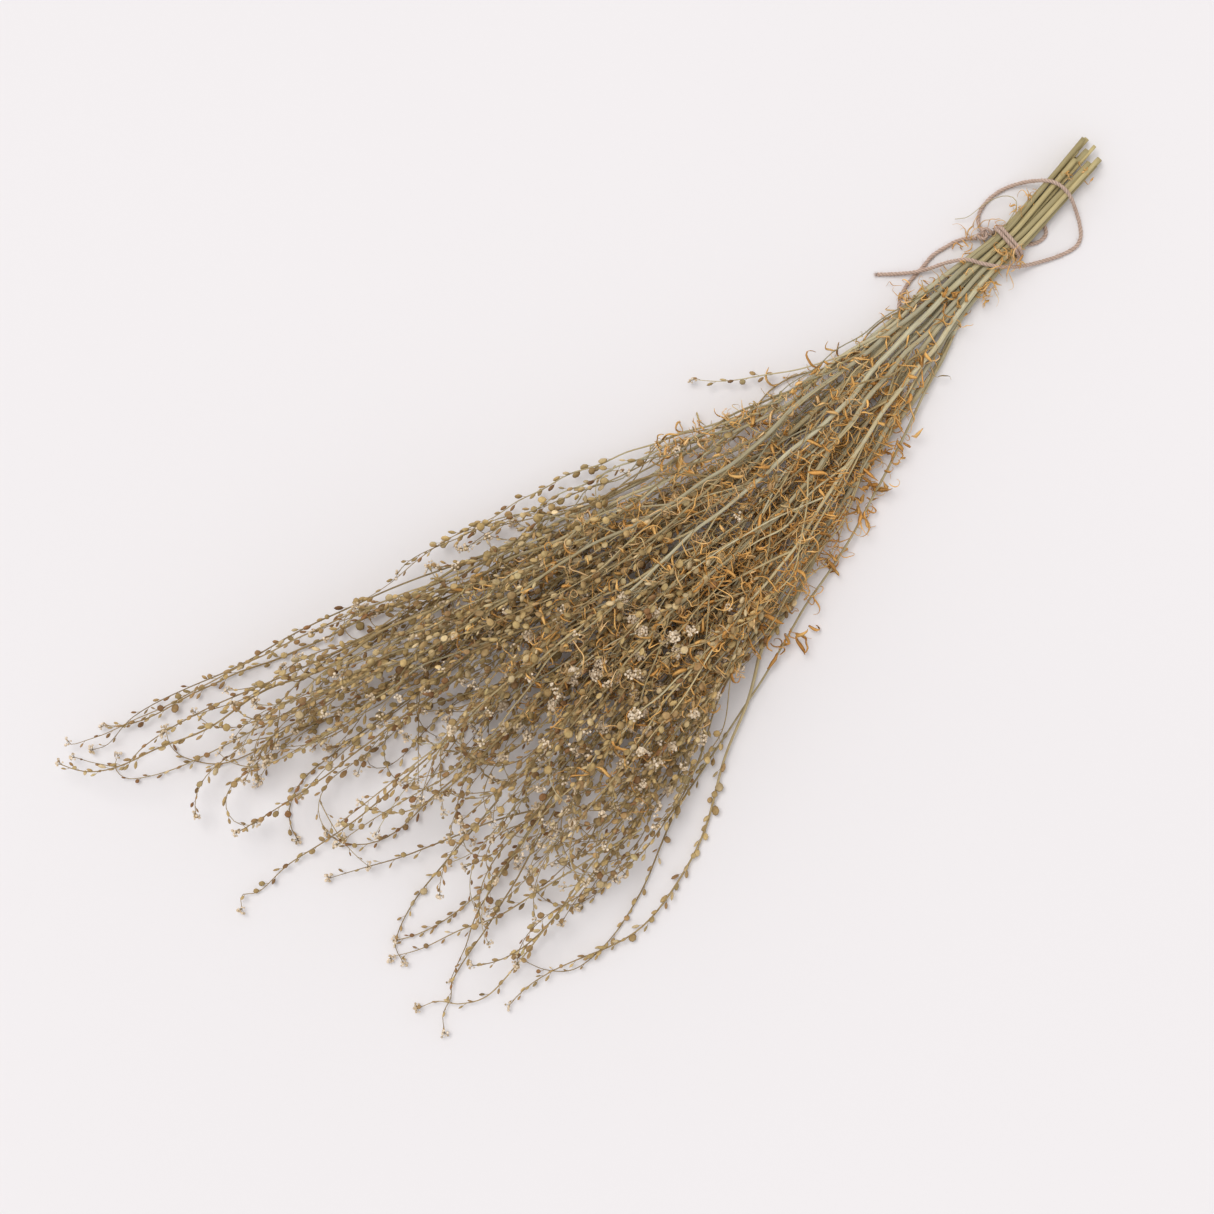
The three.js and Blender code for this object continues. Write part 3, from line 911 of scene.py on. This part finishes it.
def sideLine(plant, order, main):
    # leaves the main stem at a fork and eases into a way of its own
    share = (order + rng.uniform(0.1, 0.9)) / spikes["perPlant"]
    forkFrom = spikes["forkFrom"] - (spikes["forkLeft"] if plant["isLeft"] else 0)
    forkTo = spikes["forkTo"] - (spikes["forkArc"] if plant["bow"] else 0)
    start = plant["cut"] + (plant["tip"] - plant["cut"]) * (forkFrom + (forkTo - forkFrom) * share)
    end = min(start + rng.uniform(*spikes["length"]), plant["tip"] * rng.uniform(*spikes["reachShare"]))
    pull = plant["pull"] * float(np.interp(end, *spikes["pullFades"]))
    fork = stemCentre(plant, np.array([start]))[0]
    offset = [np.interp(start, main[:, 0], main[:, k]) - fork[k] for k in (1, 2)]
    q = np.linspace(0, 1, spikes["points"])
    ease = 1 - (1 - q) ** (spikes["easeLeft"] if plant["isLeft"] else spikes["ease"])
    length = (end - start) / spikes["length"][1]
    for _ in range(spikes["tries"]):
        line = stemCentre(plant, start + (end - start) * q)
        aside = rng.normal(0, spikes["spread"]) * (0.55 + 0.45 * length)  # short ones spread less
        aside = aside + pull * rng.uniform(*spikes["pullShare"])
        line[:, 1] += ease * aside + offset[0] * (1 - ease)
        lift = rng.uniform(*spikes["liftShares"][plant["layer"]])
        line[:, 2] += ease * lift * spikes["lift"] + offset[1] * (1 - ease)
        line = wander(line, stems["wander"] * spikes["wander"])
        if rng.random() < spikes["curlShare"]:
            line = addCurl(line, rng.uniform(*spikes["curlLength"]), rng.normal(0, spikes["curlTurn"]),
                           spikes["droop"])
        line = keepInside(line)
        if isInside(line) and isWithinFan(line):
            break
    return line


def twigLine(line):
    # a short side twig off the outer part of a spike
    pick = rng.integers(*[int(len(line) * share) for share in spikes["twigPlace"]])
    ahead = unit(line[pick + 1] - line[pick - 1])
    side = unit(np.cross(ahead, rng.normal(0, 1, 3)))
    heading = unit(ahead + side * rng.uniform(*spikes["twigLean"]))
    twig = np.stack([line[pick], line[pick] + heading * 0.002])
    length, turn = rng.uniform(*spikes["twigLength"]), rng.normal(0, spikes["twigCurl"])
    return keepInside(addCurl(twig, length, turn, spikes["twigDroop"]))


def sprigLine(points):
    line = wander(smoothLine(points, sprigLook["step"]), sprigLook["wander"])
    line[:, 2] = np.maximum(line[:, 2], room["low"] + room["lineLift"])
    return line


def stemTint(line, shade):
    return hueBrightness(np.interp(line[:, 0], *stems["hues"]) + shade[0], shade[1])


pods = dict(
    length=(0.0054, 0.0028),  # at the foot of a spike and at its tip
    lengthKept=(0.75, 0.8),  # this far along they still have this share of their length
    lengthSpread=0.13,
    pitch=(0.0046, 0.0080),
    pitchShare=(0.6, 1.35),
    endGap=0.002,
    stalk=(0.0028, 0.0020),
    stalkShare=(0.75, 1.25),
    stalkWidth=0.0003,
    turnSpread=0.35,
    lean=(0.4, 0.9),  # of the stalks, away from the spike
    leanKept=0.6,  # this share of it in the pods
    tilt=0.22,
    roll=0.6,
    slimShare=0.42,
    slimMore=0.35,  # towards the tip
    slimWidth=(0.42, 0.6),
    roundWidth=(0.85, 1.08),
    thickness=(0.8, 1.3),
    hue=(0.50, 0.19),
    hueTop=0.86,
    plantHue=0.05,
    tipDarker=0.16,
    # painted shade: pods of lower layers are shifted towards darker hues for each layer above them
    lowerPaintedShade=0.05,
    light=(1.0, 0.16),
    stalkHue=0.3,
    stalkLight=(0.85, 0.08),
    outline=[(0, 0), (0.16, 0.29), (0.50, 0.46), (0.85, 0.30), (0.97, 0.0), (0.85, -0.30), (0.50, -0.46),
             (0.16, -0.29)],
    swell=0.15,
    colours=[(0.0, (0.250, 0.125, 0.050)), (0.25, (0.385, 0.250, 0.110)), (0.50, (0.475, 0.342, 0.146)),
             (0.72, (0.625, 0.485, 0.285)), (1.0, (0.430, 0.345, 0.135))],
    roughness=0.75,
    streakScale=(3, 3, 9),
    streak=0.16,
    bump=0.4,
)
goldenAngle = math.pi * (3 - math.sqrt(5))


def podsAlong(line, fromShare, store, small=1.0, dense=1.0):
    # pods spiral up a spike on thin stalks, smaller and farther apart towards the tip
    total = lineLength(line)
    at, d = [], total * fromShare
    near, far = pods["pitch"]
    while d < total - pods["endGap"]:
        at.append(d)
        share = max(0, (d / total - fromShare) / (1 - fromShare))
        d += (near + (far - near) * share**1.5) * rng.uniform(*pods["pitchShare"]) / dense
    if not at:
        return
    at = np.array(at)
    share = np.clip((at / total - fromShare) / (1 - fromShare), 0, 1)
    ahead, across, up = framesAlong(line)
    walked = np.linspace(0, total, len(line))
    base, fore, side, rise = [follow(a, walked, at) for a in (line, ahead, across, up)]
    count = len(at)
    angle = goldenAngle * np.arange(count) + rng.uniform(0, fullTurn)
    angle = angle + rng.normal(0, pods["turnSpread"], count)
    out = side * np.cos(angle)[:, None] + rise * np.sin(angle)[:, None]
    stalk = np.interp(share, (0, 1), pods["stalk"]) * rng.uniform(*pods["stalkShare"], count) * small**0.5
    lean = rng.uniform(*pods["lean"], (count, 1))
    tip = base + unit(fore + out * lean) * stalk[:, None]
    way = unit(fore + out * lean * pods["leanKept"] + rng.normal(0, pods["tilt"], (count, 3)))
    wide = np.cross(way, out) + rng.normal(0, pods["roll"], (count, 3))
    longest, shortest = pods["length"]
    until, kept = pods["lengthKept"]
    length = np.interp(share, (0, until, 1), (longest, longest * kept, shortest))
    length = length * rng.normal(1, pods["lengthSpread"], count) * small
    slim = rng.random(count) < pods["slimShare"] + pods["slimMore"] * share
    slimWidth = rng.uniform(*pods["slimWidth"], count)
    width = length * np.where(slim, slimWidth, rng.uniform(*pods["roundWidth"], count))
    low = tip[:, 2] + np.minimum(0, way[:, 2]) * length < room["low"] + room["podLift"]
    tip[low, 2] += room["podLift"]
    way[low, 2] = np.abs(way[low, 2]) * 0.3
    size = np.stack([length, width, length * rng.uniform(*pods["thickness"], count)], 1)
    store.append((base, tip, way, wide, size, share))


def addStalks(heap, base, tip, radius, tint):
    # three-sided rods from base to tip, one for each pair of points
    way = unit(tip - base)
    other = unit(np.cross(way, rng.normal(0, 1, (len(way), 3))))
    ring = ringAcross(3, other, np.cross(way, other)) * radius
    addRods(heap, np.stack([base[:, None] + ring, tip[:, None] + ring * 0.8], 1), tint)


def hueBrightness(hue, brightness):
    tint = np.ones((len(hue), 4))
    tint[:, 0] = np.clip(hue, 0, 1)
    tint[:, 1] = brightness
    return tint


roundPod = lensShape(pods["outline"], pods["swell"])


def addPods(heap, store, hueAndPaintedShade):
    base, tip, way, wide, size, share = [np.concatenate(part) for part in zip(*store)]
    count = len(tip)
    # the hue shift passed in is the plant's own hue, less painted shade for the layers above
    hue = np.minimum(rng.normal(*pods["hue"], count) + hueAndPaintedShade - pods["tipDarker"] * share, pods["hueTop"])
    addCopies(heap, roundPod, tip, way, wide, size, hueBrightness(hue, rng.normal(*pods["light"], count)))
    stalkTint = hueBrightness(np.full(count, pods["stalkHue"]), rng.normal(*pods["stalkLight"], count))
    addStalks(heap, base, tip + way * 0.0003, pods["stalkWidth"] / 2, stalkTint)


flowers = dict(
    budLength=0.0015,
    budSizes=(0.7, 1.2),
    budSides=5,
    budWidth=1.15,
    ahead=(0.1, 1.1),  # how much they point along the spike
    standOff=(0.25, 0.9),  # in shares of the tuft's spread
    tuftBuds=(6, 16),
    tuftSpread=0.0028,
    headsPerPlant=8,
    tries=200,
    headBuds=(22, 66),
    headSpread=(0.0028, 0.0040),
    headLift=0.006,
    headStalk=0.00022,  # half its width
    budStalk=0.00013,
    stalkHue=0.05,
    stalkLight=0.8,
    headStalkLight=0.9,
    headsFrom=0.34,  # along x
    headsTo=0.49,
    headsRightOf=(0.025, 0.022),
    hue=(0.62, 0.22),
    light=(1.0, 0.1),
    colours=[(0.0, (0.300, 0.220, 0.110)), (0.35, (0.590, 0.450, 0.290)), (0.6, (0.730, 0.595, 0.430)),
             (1.0, (0.820, 0.700, 0.550))],
    roughness=0.85,
    streakScale=(4, 4, 4),
    streak=0.12,
    bump=0.3,
)
bud = budShape(flowers["budSides"])


def addTuft(heap, place, heading, count, spread):
    # a tuft of closed flowers on short stalks
    ahead = rng.uniform(*flowers["ahead"], (count, 1))
    out = unit(heading * ahead + unit(rng.normal(0, 1, (count, 3))))
    base = place + out * spread * rng.uniform(*flowers["standOff"], (count, 1))
    base[:, 2] = np.maximum(base[:, 2], room["low"] + room["podLift"])
    length = flowers["budLength"] * rng.uniform(*flowers["budSizes"], count)
    size = np.stack([length, length * flowers["budWidth"], length * flowers["budWidth"]], 1)
    out[:, 2] = np.where(base[:, 2] < 0.004, np.abs(out[:, 2]), out[:, 2])
    tint = hueBrightness(rng.normal(*flowers["hue"], count), rng.normal(*flowers["light"], count))
    addCopies(heap, bud, base, out, rng.normal(0, 1, (count, 3)), size, tint)
    stalkTint = hueBrightness(np.full(count, flowers["stalkHue"]), np.full(count, flowers["stalkLight"]))
    addStalks(heap, np.repeat(place[None], count, 0), base + out * 0.0002, flowers["budStalk"], stalkTint)


leaves = dict(
    perPlant=255,
    layerShares=(0.75, 1.0, 1.35),
    leftShare=0.5,
    broadShare=0.18,
    # how likely a leaf is to hang at each place along x
    places=((0.09, 0.13, 0.2, 0.30, 0.36, 0.42, 0.46), (0.3, 0.7, 1, 0.85, 0.36, 0.14, 0.04)),
    edgeFrom=0.30,  # beyond this the edges are bare of leaves
    edge=0.9,
    leftFrom=-0.1,  # left of this share of the half width fewer hang
    leftEdge=-0.6,  # and left of this one they are small and lie along their stems
    leftSize=0.4,
    leftAlong=0.9,
    along=(-0.2, 1.0),  # how much they point along their stems
    stray=0.9,
    tries=8,
    thin=0.00018,
    fold=(0.3, 0.8),
    # broad ones, then thread-like ones
    broad=dict(length=(0.009, 0.019), width=(0.0016, 0.0029), turning=(1.5, 5.5), waving=(0.1, 0.5),
               hue=(0.45, 0.16), redder=0.15, light=(1.0, 0.12), steps=10, corners=4,
               tangleSpread=1.9, tangleWidth=(0.0013, 0.0026), tangleHue=0.38),
    thread=dict(shortest=0.008, longer=0.024, width=(0.0006, 0.0012), turning=(2.0, 6.5), waving=(0.2, 1.0),
                hue=(0.62, 0.2), redder=0.2, light=(1.03, 0.15), steps=13, corners=3,
                tangleSpread=1.0, tangleWidth=(0.0005, 0.0012), tangleHue=0.6),
    colours=[(0.0, (0.400, 0.185, 0.045)), (0.3, (0.620, 0.310, 0.080)), (0.6, (0.790, 0.465, 0.150)),
             (0.85, (0.760, 0.510, 0.260)), (1.0, (0.520, 0.400, 0.180))],
    roughness=0.7,
    streakScale=(500, 2, 1),
    streak=0.15,
    bump=0.4,
)

# tangles of dried leaves: place, spread, leaf length, how many, whether they are broad, and which way they lean
tangles = [
    ((0.135, -0.013, 0.009), 0.0042, 0.014, 30, False, (0, 0, 0)),
    ((0.079, 0.006, 0.014), 0.0040, 0.012, 40, False, (0, 0.3, 0)),
    ((0.100, 0.011, 0.012), 0.0035, 0.011, 30, False, (0.3, 0, 0)),
    ((0.122, 0.005, 0.014), 0.0045, 0.017, 12, True, (1.2, 0, 0)),
    ((0.072, -0.015, 0.006), 0.0030, 0.013, 7, False, (0.2, -0.6, 0)),
    ((0.092, -0.015, 0.006), 0.0035, 0.013, 14, False, (0.3, -0.7, 0)),
    ((0.056, -0.008, 0.010), 0.0030, 0.010, 10, False, (-0.5, -0.3, 0)),
    ((0.025, -0.004, 0.014), 0.0020, 0.008, 9, False, (0, 0, 0)),
    ((0.196, 0.042, 0.008), 0.0045, 0.011, 16, True, (0.2, 0.8, 0)),
    ((0.222, 0.052, 0.008), 0.0045, 0.012, 16, True, (0.3, 0.9, 0)),
    ((0.240, 0.058, 0.007), 0.0020, 0.018, 7, True, (0.2, 1.3, 0)),
    ((0.268, 0.067, 0.007), 0.0020, 0.021, 6, True, (0.5, 1.3, 0)),
    ((0.290, 0.073, 0.007), 0.0020, 0.015, 6, False, (0.2, 1.0, 0)),
    ((0.318, 0.083, 0.007), 0.0035, 0.014, 12, True, (0.2, 0.9, 0)),
    ((0.016, 0.000, 0.013), 0.0020, 0.007, 8, False, (0, 0.4, 0)),
    ((0.046, -0.009, 0.010), 0.0030, 0.014, 8, False, (-0.6, -0.6, 0)),
]


def growLeaves(heap, base, heading, length, width, turning, waving, hue, brightness,
               steps=11, corners=3):
    # dried leaves: thin folded ribbons that curl and waver, each one closed
    count = len(base)
    axis = unit(np.cross(heading, rng.normal(0, 1, (count, 3))))
    twist = rng.normal(0, 0.2, count)
    phase = rng.uniform(0, fullTurn, count)
    place, fronts, centres, axes = base, [], [], []
    for k in range(steps + 1):
        fronts.append(heading)
        centres.append(place)
        axes.append(axis)
        bend = turning / steps * (0.5 + k / steps) + waving * np.cos(phase + k * 1.25)
        heading = unit(turnAbout(heading, axis, bend))
        axis = unit(turnAbout(axis, heading, twist))
        axis = unit(axis - heading * (axis * heading).sum(-1, keepdims=True))
        place = place + heading * (length / steps)[:, None]
        place[:, 2] = np.maximum(place[:, 2], room["low"] + room["leafLift"])
    centres, fronts, axes = [np.stack(a, 1) for a in (centres, fronts, axes)]
    normal = np.cross(fronts, axes)
    t = np.linspace(0, 1, steps + 1)
    # widest before the middle, and pinched at its end
    shape = 0.35 + 0.65 * np.sin(math.pi * np.minimum(1, t * 1.15 + 0.08)) ** 0.8
    shape = shape * np.where(t > 0.97, 0.35, 1)
    half = (width[:, None] / 2) * shape[None]
    fold = half * rng.uniform(*leaves["fold"], (count, 1))
    thin = np.maximum(leaves["thin"] / 2, half * 0.10)
    edge = axes * half[..., None]
    rings = np.stack([centres + edge, centres + normal * (fold + thin)[..., None],
                      centres - edge, centres + normal * (fold - thin)[..., None]][:corners], 2)
    rings[..., 2] = np.maximum(rings[..., 2], 0.0002)
    way = np.zeros((count, steps + 1, corners, 3))
    way[..., 0] = t[None, :, None] * length[:, None, None]
    way[..., 1] = np.array([1, 0, -1, 0])[:corners]
    addRods(heap, rings, hueBrightness(hue, brightness), way)


def addLeaves(heap, base, ahead, isBroad):
    # thread-like leaves curl tightly; broad ones curl less
    count = len(base)
    look = leaves["broad" if isBroad else "thread"]
    across = shareAcross(base[:, 0], base[:, 1])
    atLeft = across < leaves["leftEdge"]
    along = rng.uniform(*leaves["along"], (count, 1)) + np.where(atLeft, leaves["leftAlong"], 0)[:, None]
    heading = unit(ahead * along + unit(rng.normal(0, 1, (count, 3))) * leaves["stray"])
    turning = rng.choice((-1, 1), count)
    if isBroad:
        length = rng.uniform(*look["length"], count)
    else:
        size = rng.uniform(0, 1, count) ** 1.6 * np.where(atLeft, leaves["leftSize"], 1)
        length = look["shortest"] + look["longer"] * size
    width = rng.uniform(*look["width"], count)
    turning = turning * rng.uniform(*look["turning"], count)
    if not isBroad:
        turning = turning * (0.7 + 0.6 * size)
    waving = rng.uniform(*look["waving"], count)
    hue = rng.normal(*look["hue"], count) - look["redder"] * across
    growLeaves(heap, base, heading, length, width, turning, waving, hue, rng.normal(*look["light"], count),
               look["steps"], look["corners"])


def tintedMaterial(name, look):
    # a ramp of hues picked by the tint's red, brightened by its green, with fine streaks
    material, tree, shader = newMaterial(name, look["roughness"], 0.3)
    fine = noiseOf(tree, stretched(tree, attributeOf(tree, "way", "Vector"), look["streakScale"]), 1.0, 3.0, 0.6)
    patch = noiseOf(tree, addNode(tree, "TexCoord", "Object", {}), 240.0, 2.0)
    hue = combined(tree, "ADD", tintPart(tree, "Red"), ranged(tree, patch, 0.2, 0.8, -0.12, 0.12))
    light = combined(tree, "MULTIPLY", tintPart(tree, "Green"),
                     ranged(tree, fine, 0.3, 0.7, 1 - look["streak"], 1 + look["streak"]))
    setInput(tree, shader["Base Color"], brightened(tree, rampOf(tree, hue, look["colours"]), light))
    setInput(tree, shader["Normal"], bumpOf(tree, fine, look["bump"], 0.0004))
    return material


stemMaterial = tintedMaterial("driedStem", stems)
podMaterial = tintedMaterial("driedPod", pods)
flowerMaterial = tintedMaterial("driedFlower", flowers)
leafMaterial = tintedMaterial("driedLeaf", leaves)


def leafBases(lines, count):
    # places on a plant's lines where leaves still hang, most of them below the pods
    nearest, farthest = leaves["places"][0][0], leaves["places"][0][-1]
    inReach = [(line[:, 0] > nearest) & (line[:, 0] < farthest) for line in lines]
    weights = np.array([lineLength(line[near]) if near.sum() > 2 else 0
                        for line, near in zip(lines, inReach)])
    base, ahead = [], []
    for i in rng.choice(len(lines), count, p=weights / weights.sum()):
        line = lines[i]
        across = shareAcross(line[:, 0], line[:, 1])
        offEdge = (line[:, 0] < leaves["edgeFrom"]) | (np.abs(across) < leaves["edge"])
        usable = np.nonzero(inReach[i] & offEdge)[0]
        usable = usable[(usable > 0) & (usable < len(line) - 1)]
        if len(usable) < 3:
            continue
        for _ in range(leaves["tries"]):
            pick = rng.choice(usable)
            wanted = np.interp(line[pick, 0], *leaves["places"])
            if rng.random() < wanted * (leaves["leftShare"] if across[pick] < leaves["leftFrom"] else 1):
                break
        base.append(line[pick])
        ahead.append(unit(line[pick + 1] - line[pick - 1]))
    return np.array(base), np.array(ahead)


def addSpike(heap, line, foot, taper, tint):
    until, share, tipWidth = taper
    widths = np.interp(np.linspace(0, 1, len(line)), (0, until, 1), (foot, foot * share, tipWidth))
    addTube(heap, line, widths / 2, spikes["sides"], tint)


def growMain(heap, store, plant, shade):
    main = mainLine(plant)
    even = evenLine(main, stems["step"])
    podsFrom = 1 - (bunch["spikeLength"] + stems["podsSooner"]) / lineLength(main)
    width = stems["cutWidth"] * rng.uniform(*stems["widthShare"])
    middle, upper = width * rng.uniform(*stems["middleShare"]), width * rng.uniform(*stems["upperShare"])
    widths = np.interp(np.linspace(0, 1, len(even)), (*stems["widthPlaces"], podsFrom, 1),
                       (width, width, middle, upper, stems["forkWidth"], stems["tipWidth"]))
    addTube(heap, even, widths / 2, stems["sides"], stemTint(even, shade), stems["ribs"], stems["ribDepth"],
            rng.normal(0, stems["twist"]), stems["cutTint"])
    podsAlong(main, podsFrom, store, 1.0, stems["podsDense"])
    return main


def growSide(heap, store, plant, shade, order, main):
    # one side spike, and its twig if it has one
    line = sideLine(plant, order, main)
    foot = rng.uniform(*spikes["width"])
    own = (shade[0] + rng.normal(*spikes["ownHue"]), shade[1] * rng.normal(1, spikes["ownLight"]))
    even = evenLine(line, spikes["step"])
    addSpike(heap, even, foot, spikes["taper"], stemTint(even, own))
    bare = max(spikes["bareTo"], (spikes["podsFrom"] - line[0, 0]) / max(lineLength(line), 0.01))
    podsAlong(line, min(spikes["bareMost"], bare + rng.uniform(0, spikes["bareMore"])), store)
    grown = [line]
    if rng.random() < spikes["twigShare"]:
        twig = twigLine(line)
        if isInside(twig) and isWithinFan(twig) and twig[0, 0] > spikes["twigsBeyond"]:
            even = evenLine(twig, spikes["twigStep"])
            thick, thin = spikes["twigWidth"]
            radius = np.linspace(thick / 2, thin / 2, len(even))
            addTube(heap, even, radius, spikes["sides"], stemTint(even, own))
            podsAlong(twig, store=store, **spikes["twigPods"])
            grown.append(twig)
    return grown


def growSprig(heap, store, k, shade):
    line = sprigLine(sprigs[k])
    addSpike(heap, line, sprigWidth.get(k, sprigLook["width"]), sprigLook["taper"], stemTint(line, shade))
    podsAlong(line, sprigBareTo.get(k, sprigLook["bareTo"]), store, 0.9, 0.9)
    return line


def growFlowers(heap, lines, tips):
    # a tuft at each tip, and round heads that stand off the spikes of the right half
    for line in tips:
        buds = rng.integers(*flowers["tuftBuds"])
        addTuft(heap, line[-1], unit(line[-1] - line[-3]), buds, flowers["tuftSpread"])
    headsLeft = flowers["headsPerPlant"]
    for _ in range(flowers["tries"]):
        line = lines[rng.integers(1, spikes["perPlant"])]
        place = line[rng.integers(len(line) // 3, len(line) - 8)]
        if not flowers["headsFrom"] < place[0] < flowers["headsTo"] or not headsLeft:
            continue
        if place[1] > rng.normal(*flowers["headsRightOf"]):
            headsLeft -= 1
            head = place + np.array([0, 0, flowers["headLift"]])
            stalkTint = hueBrightness(np.array([flowers["stalkHue"]]), flowers["headStalkLight"])
            addStalks(heap, place[None], head[None], flowers["headStalk"], stalkTint)
            addTuft(heap, head, np.array([0, 0, 1.0]), rng.integers(*flowers["headBuds"]),
                    rng.uniform(*flowers["headSpread"]))


def growTangle(heap, place, reach, length, many, isBroad, lean):
    # leaves caught together, which lean one way
    look = leaves["broad" if isBroad else "thread"]
    base = np.array(place) + rng.normal(0, reach, (many, 3)) * (look["tangleSpread"], 1, 1)
    base[:, 2] = np.clip(base[:, 2], 0.002, place[2] + reach)
    heading = unit(unit(rng.normal(0, 1, (many, 3))) + np.array(lean))
    width = rng.uniform(*look["tangleWidth"], many)
    growLeaves(heap, base, heading, rng.uniform(0.6, 1.2, many) * length, width,
               rng.choice((-1, 1), many) * rng.uniform(1.0, 6.0, many), rng.uniform(0, 0.5, many),
               rng.normal(look["tangleHue"], 0.15, many), rng.normal(1.0, 0.12, many))


def growFoliage(heap, plant, lines):
    many = int(leaves["perPlant"] * leaves["layerShares"][plant["layer"]])
    broad = int(many * leaves["broadShare"])
    for count, isBroad in ((many - broad, False), (broad, True)):
        base, ahead = leafBases(lines, count)
        addLeaves(heap, base, ahead, isBroad)
    for tangle in tangles[plant["index"]::len(plants)]:
        growTangle(heap, *tangle)


def makePlant(plant):
    stemHeap, podHeap, flowerHeap, leafHeap = Heap(), Heap(), Heap(), Heap()
    store = []
    reseed(plant["index"], 0)
    shade = (rng.normal(0, stems["ownHue"]), rng.normal(1.0, stems["ownLight"]))
    main = growMain(stemHeap, store, plant, shade)
    lines, tips = [main], [main]
    for order in range(spikes["perPlant"]):
        reseed(plant["index"], 1, order)
        grown = growSide(stemHeap, store, plant, shade, order, main)
        lines.append(grown[0])
        tips += grown
    for k in range(plant["index"], len(sprigs), len(plants)):
        reseed(k, 2)
        line = growSprig(stemHeap, store, k, shade)
        if sprigBareTo.get(k, 0) < 1:
            tips.append(line)
    reseed(plant["index"], 3)
    # the plant's own hue, shifted darker as painted shade for each layer that lies above it
    layersAbove = len(layers) - 1 - plant["layer"]
    addPods(podHeap, store, rng.normal(0, pods["plantHue"]) - pods["lowerPaintedShade"] * layersAbove)
    reseed(plant["index"], 4)
    growFlowers(flowerHeap, lines, tips)
    reseed(plant["index"], 5)
    growFoliage(leafHeap, plant, lines)
    number = plant["number"]
    for heap, name, material, node, slot in (
            (stemHeap, "cressStem", stemMaterial, "stem", "stems"),
            (podHeap, "seedPods", podMaterial, "pods", "pods"),
            (flowerHeap, "flowerHeads", flowerMaterial, "flowers", "flowers"),
            (leafHeap, "driedLeaves", leafMaterial, "leaf", "leaves")):
        settle(heap.toObject(f"{name}_{number}", material), f"{node}_{number}")
    return sum(len(part[0]) for part in store)


podCount = sum(makePlant(plant) for plant in plants)
meshes = [piece.data for piece in bpy.data.objects if piece.type == "MESH"]
print("plants grown:", podCount, "pods,", sum(len(mesh.polygons) for mesh in meshes), "faces,",
      sum(len(mesh.loops) - 2 * len(mesh.polygons) for mesh in meshes), "triangles")


stage = dict(
    floorSize=7.0,
    floorDrop=0.0004,  # it lies just under the bunch
    floorColour=(0.815, 0.796, 0.811),
    cloudScale=1.5,
    cloudShade=0.985,
    skyColour=(1.0, 0.985, 0.99),
    skyLow=0.89,  # brightness at the horizon and overhead
    skyHigh=0.56,
    keyStrength=1.5,
    keyColour=(1.0, 0.985, 0.96),
    keySpread=30,  # degrees; wider is softer
    keyTilt=20,  # from overhead, towards -y
)


def makeFloor():
    size = stage["floorSize"] / 2
    mesh = bpy.data.meshes.new("floor")
    corners = [(-size, -size, 0), (size, -size, 0), (size, size, 0), (-size, size, 0)]
    mesh.from_pydata(corners, [], [(0, 1, 2, 3)])
    floor = bpy.data.objects.new("floor", mesh)
    floor.location = (0, 0, -stage["floorDrop"])
    bpy.context.scene.collection.objects.link(floor)
    material, tree, shader = newMaterial("paleFloor", 0.85, 0.2)
    cloud = noiseOf(tree, addNode(tree, "TexCoord", "Object", {}), stage["cloudScale"], 2.0)
    low = tuple(c * stage["cloudShade"] for c in stage["floorColour"])
    setInput(tree, shader["Base Color"], rampOf(tree, cloud, [(0.3, low), (0.7, stage["floorColour"])]))
    mesh.materials.append(material)


def makeSky():
    world = bpy.data.worlds.new("studio")
    world.use_nodes = True
    tree = world.node_tree
    background = tree.nodes["Background"].inputs
    background["Color"].default_value = (*stage["skyColour"], 1)
    up = addNode(tree, "SeparateXYZ", "Z", {"Vector": addNode(tree, "TexCoord", "Generated", {})})
    setInput(tree, background["Strength"], ranged(tree, up, 0, 1, stage["skyLow"], stage["skyHigh"]))
    bpy.context.scene.world = world


def makeLamp():
    lamp = bpy.data.lights.new("softKey", "SUN")
    lamp.energy = stage["keyStrength"]
    lamp.angle = math.radians(stage["keySpread"])
    lamp.color = stage["keyColour"]
    light = bpy.data.objects.new("softKey", lamp)
    light.location = (0, -0.5, 2)
    light.rotation_euler = (math.radians(stage["keyTilt"]), 0, 0)
    bpy.context.scene.collection.objects.link(light)


makeFloor()
makeSky()
makeLamp()
print("stage set")
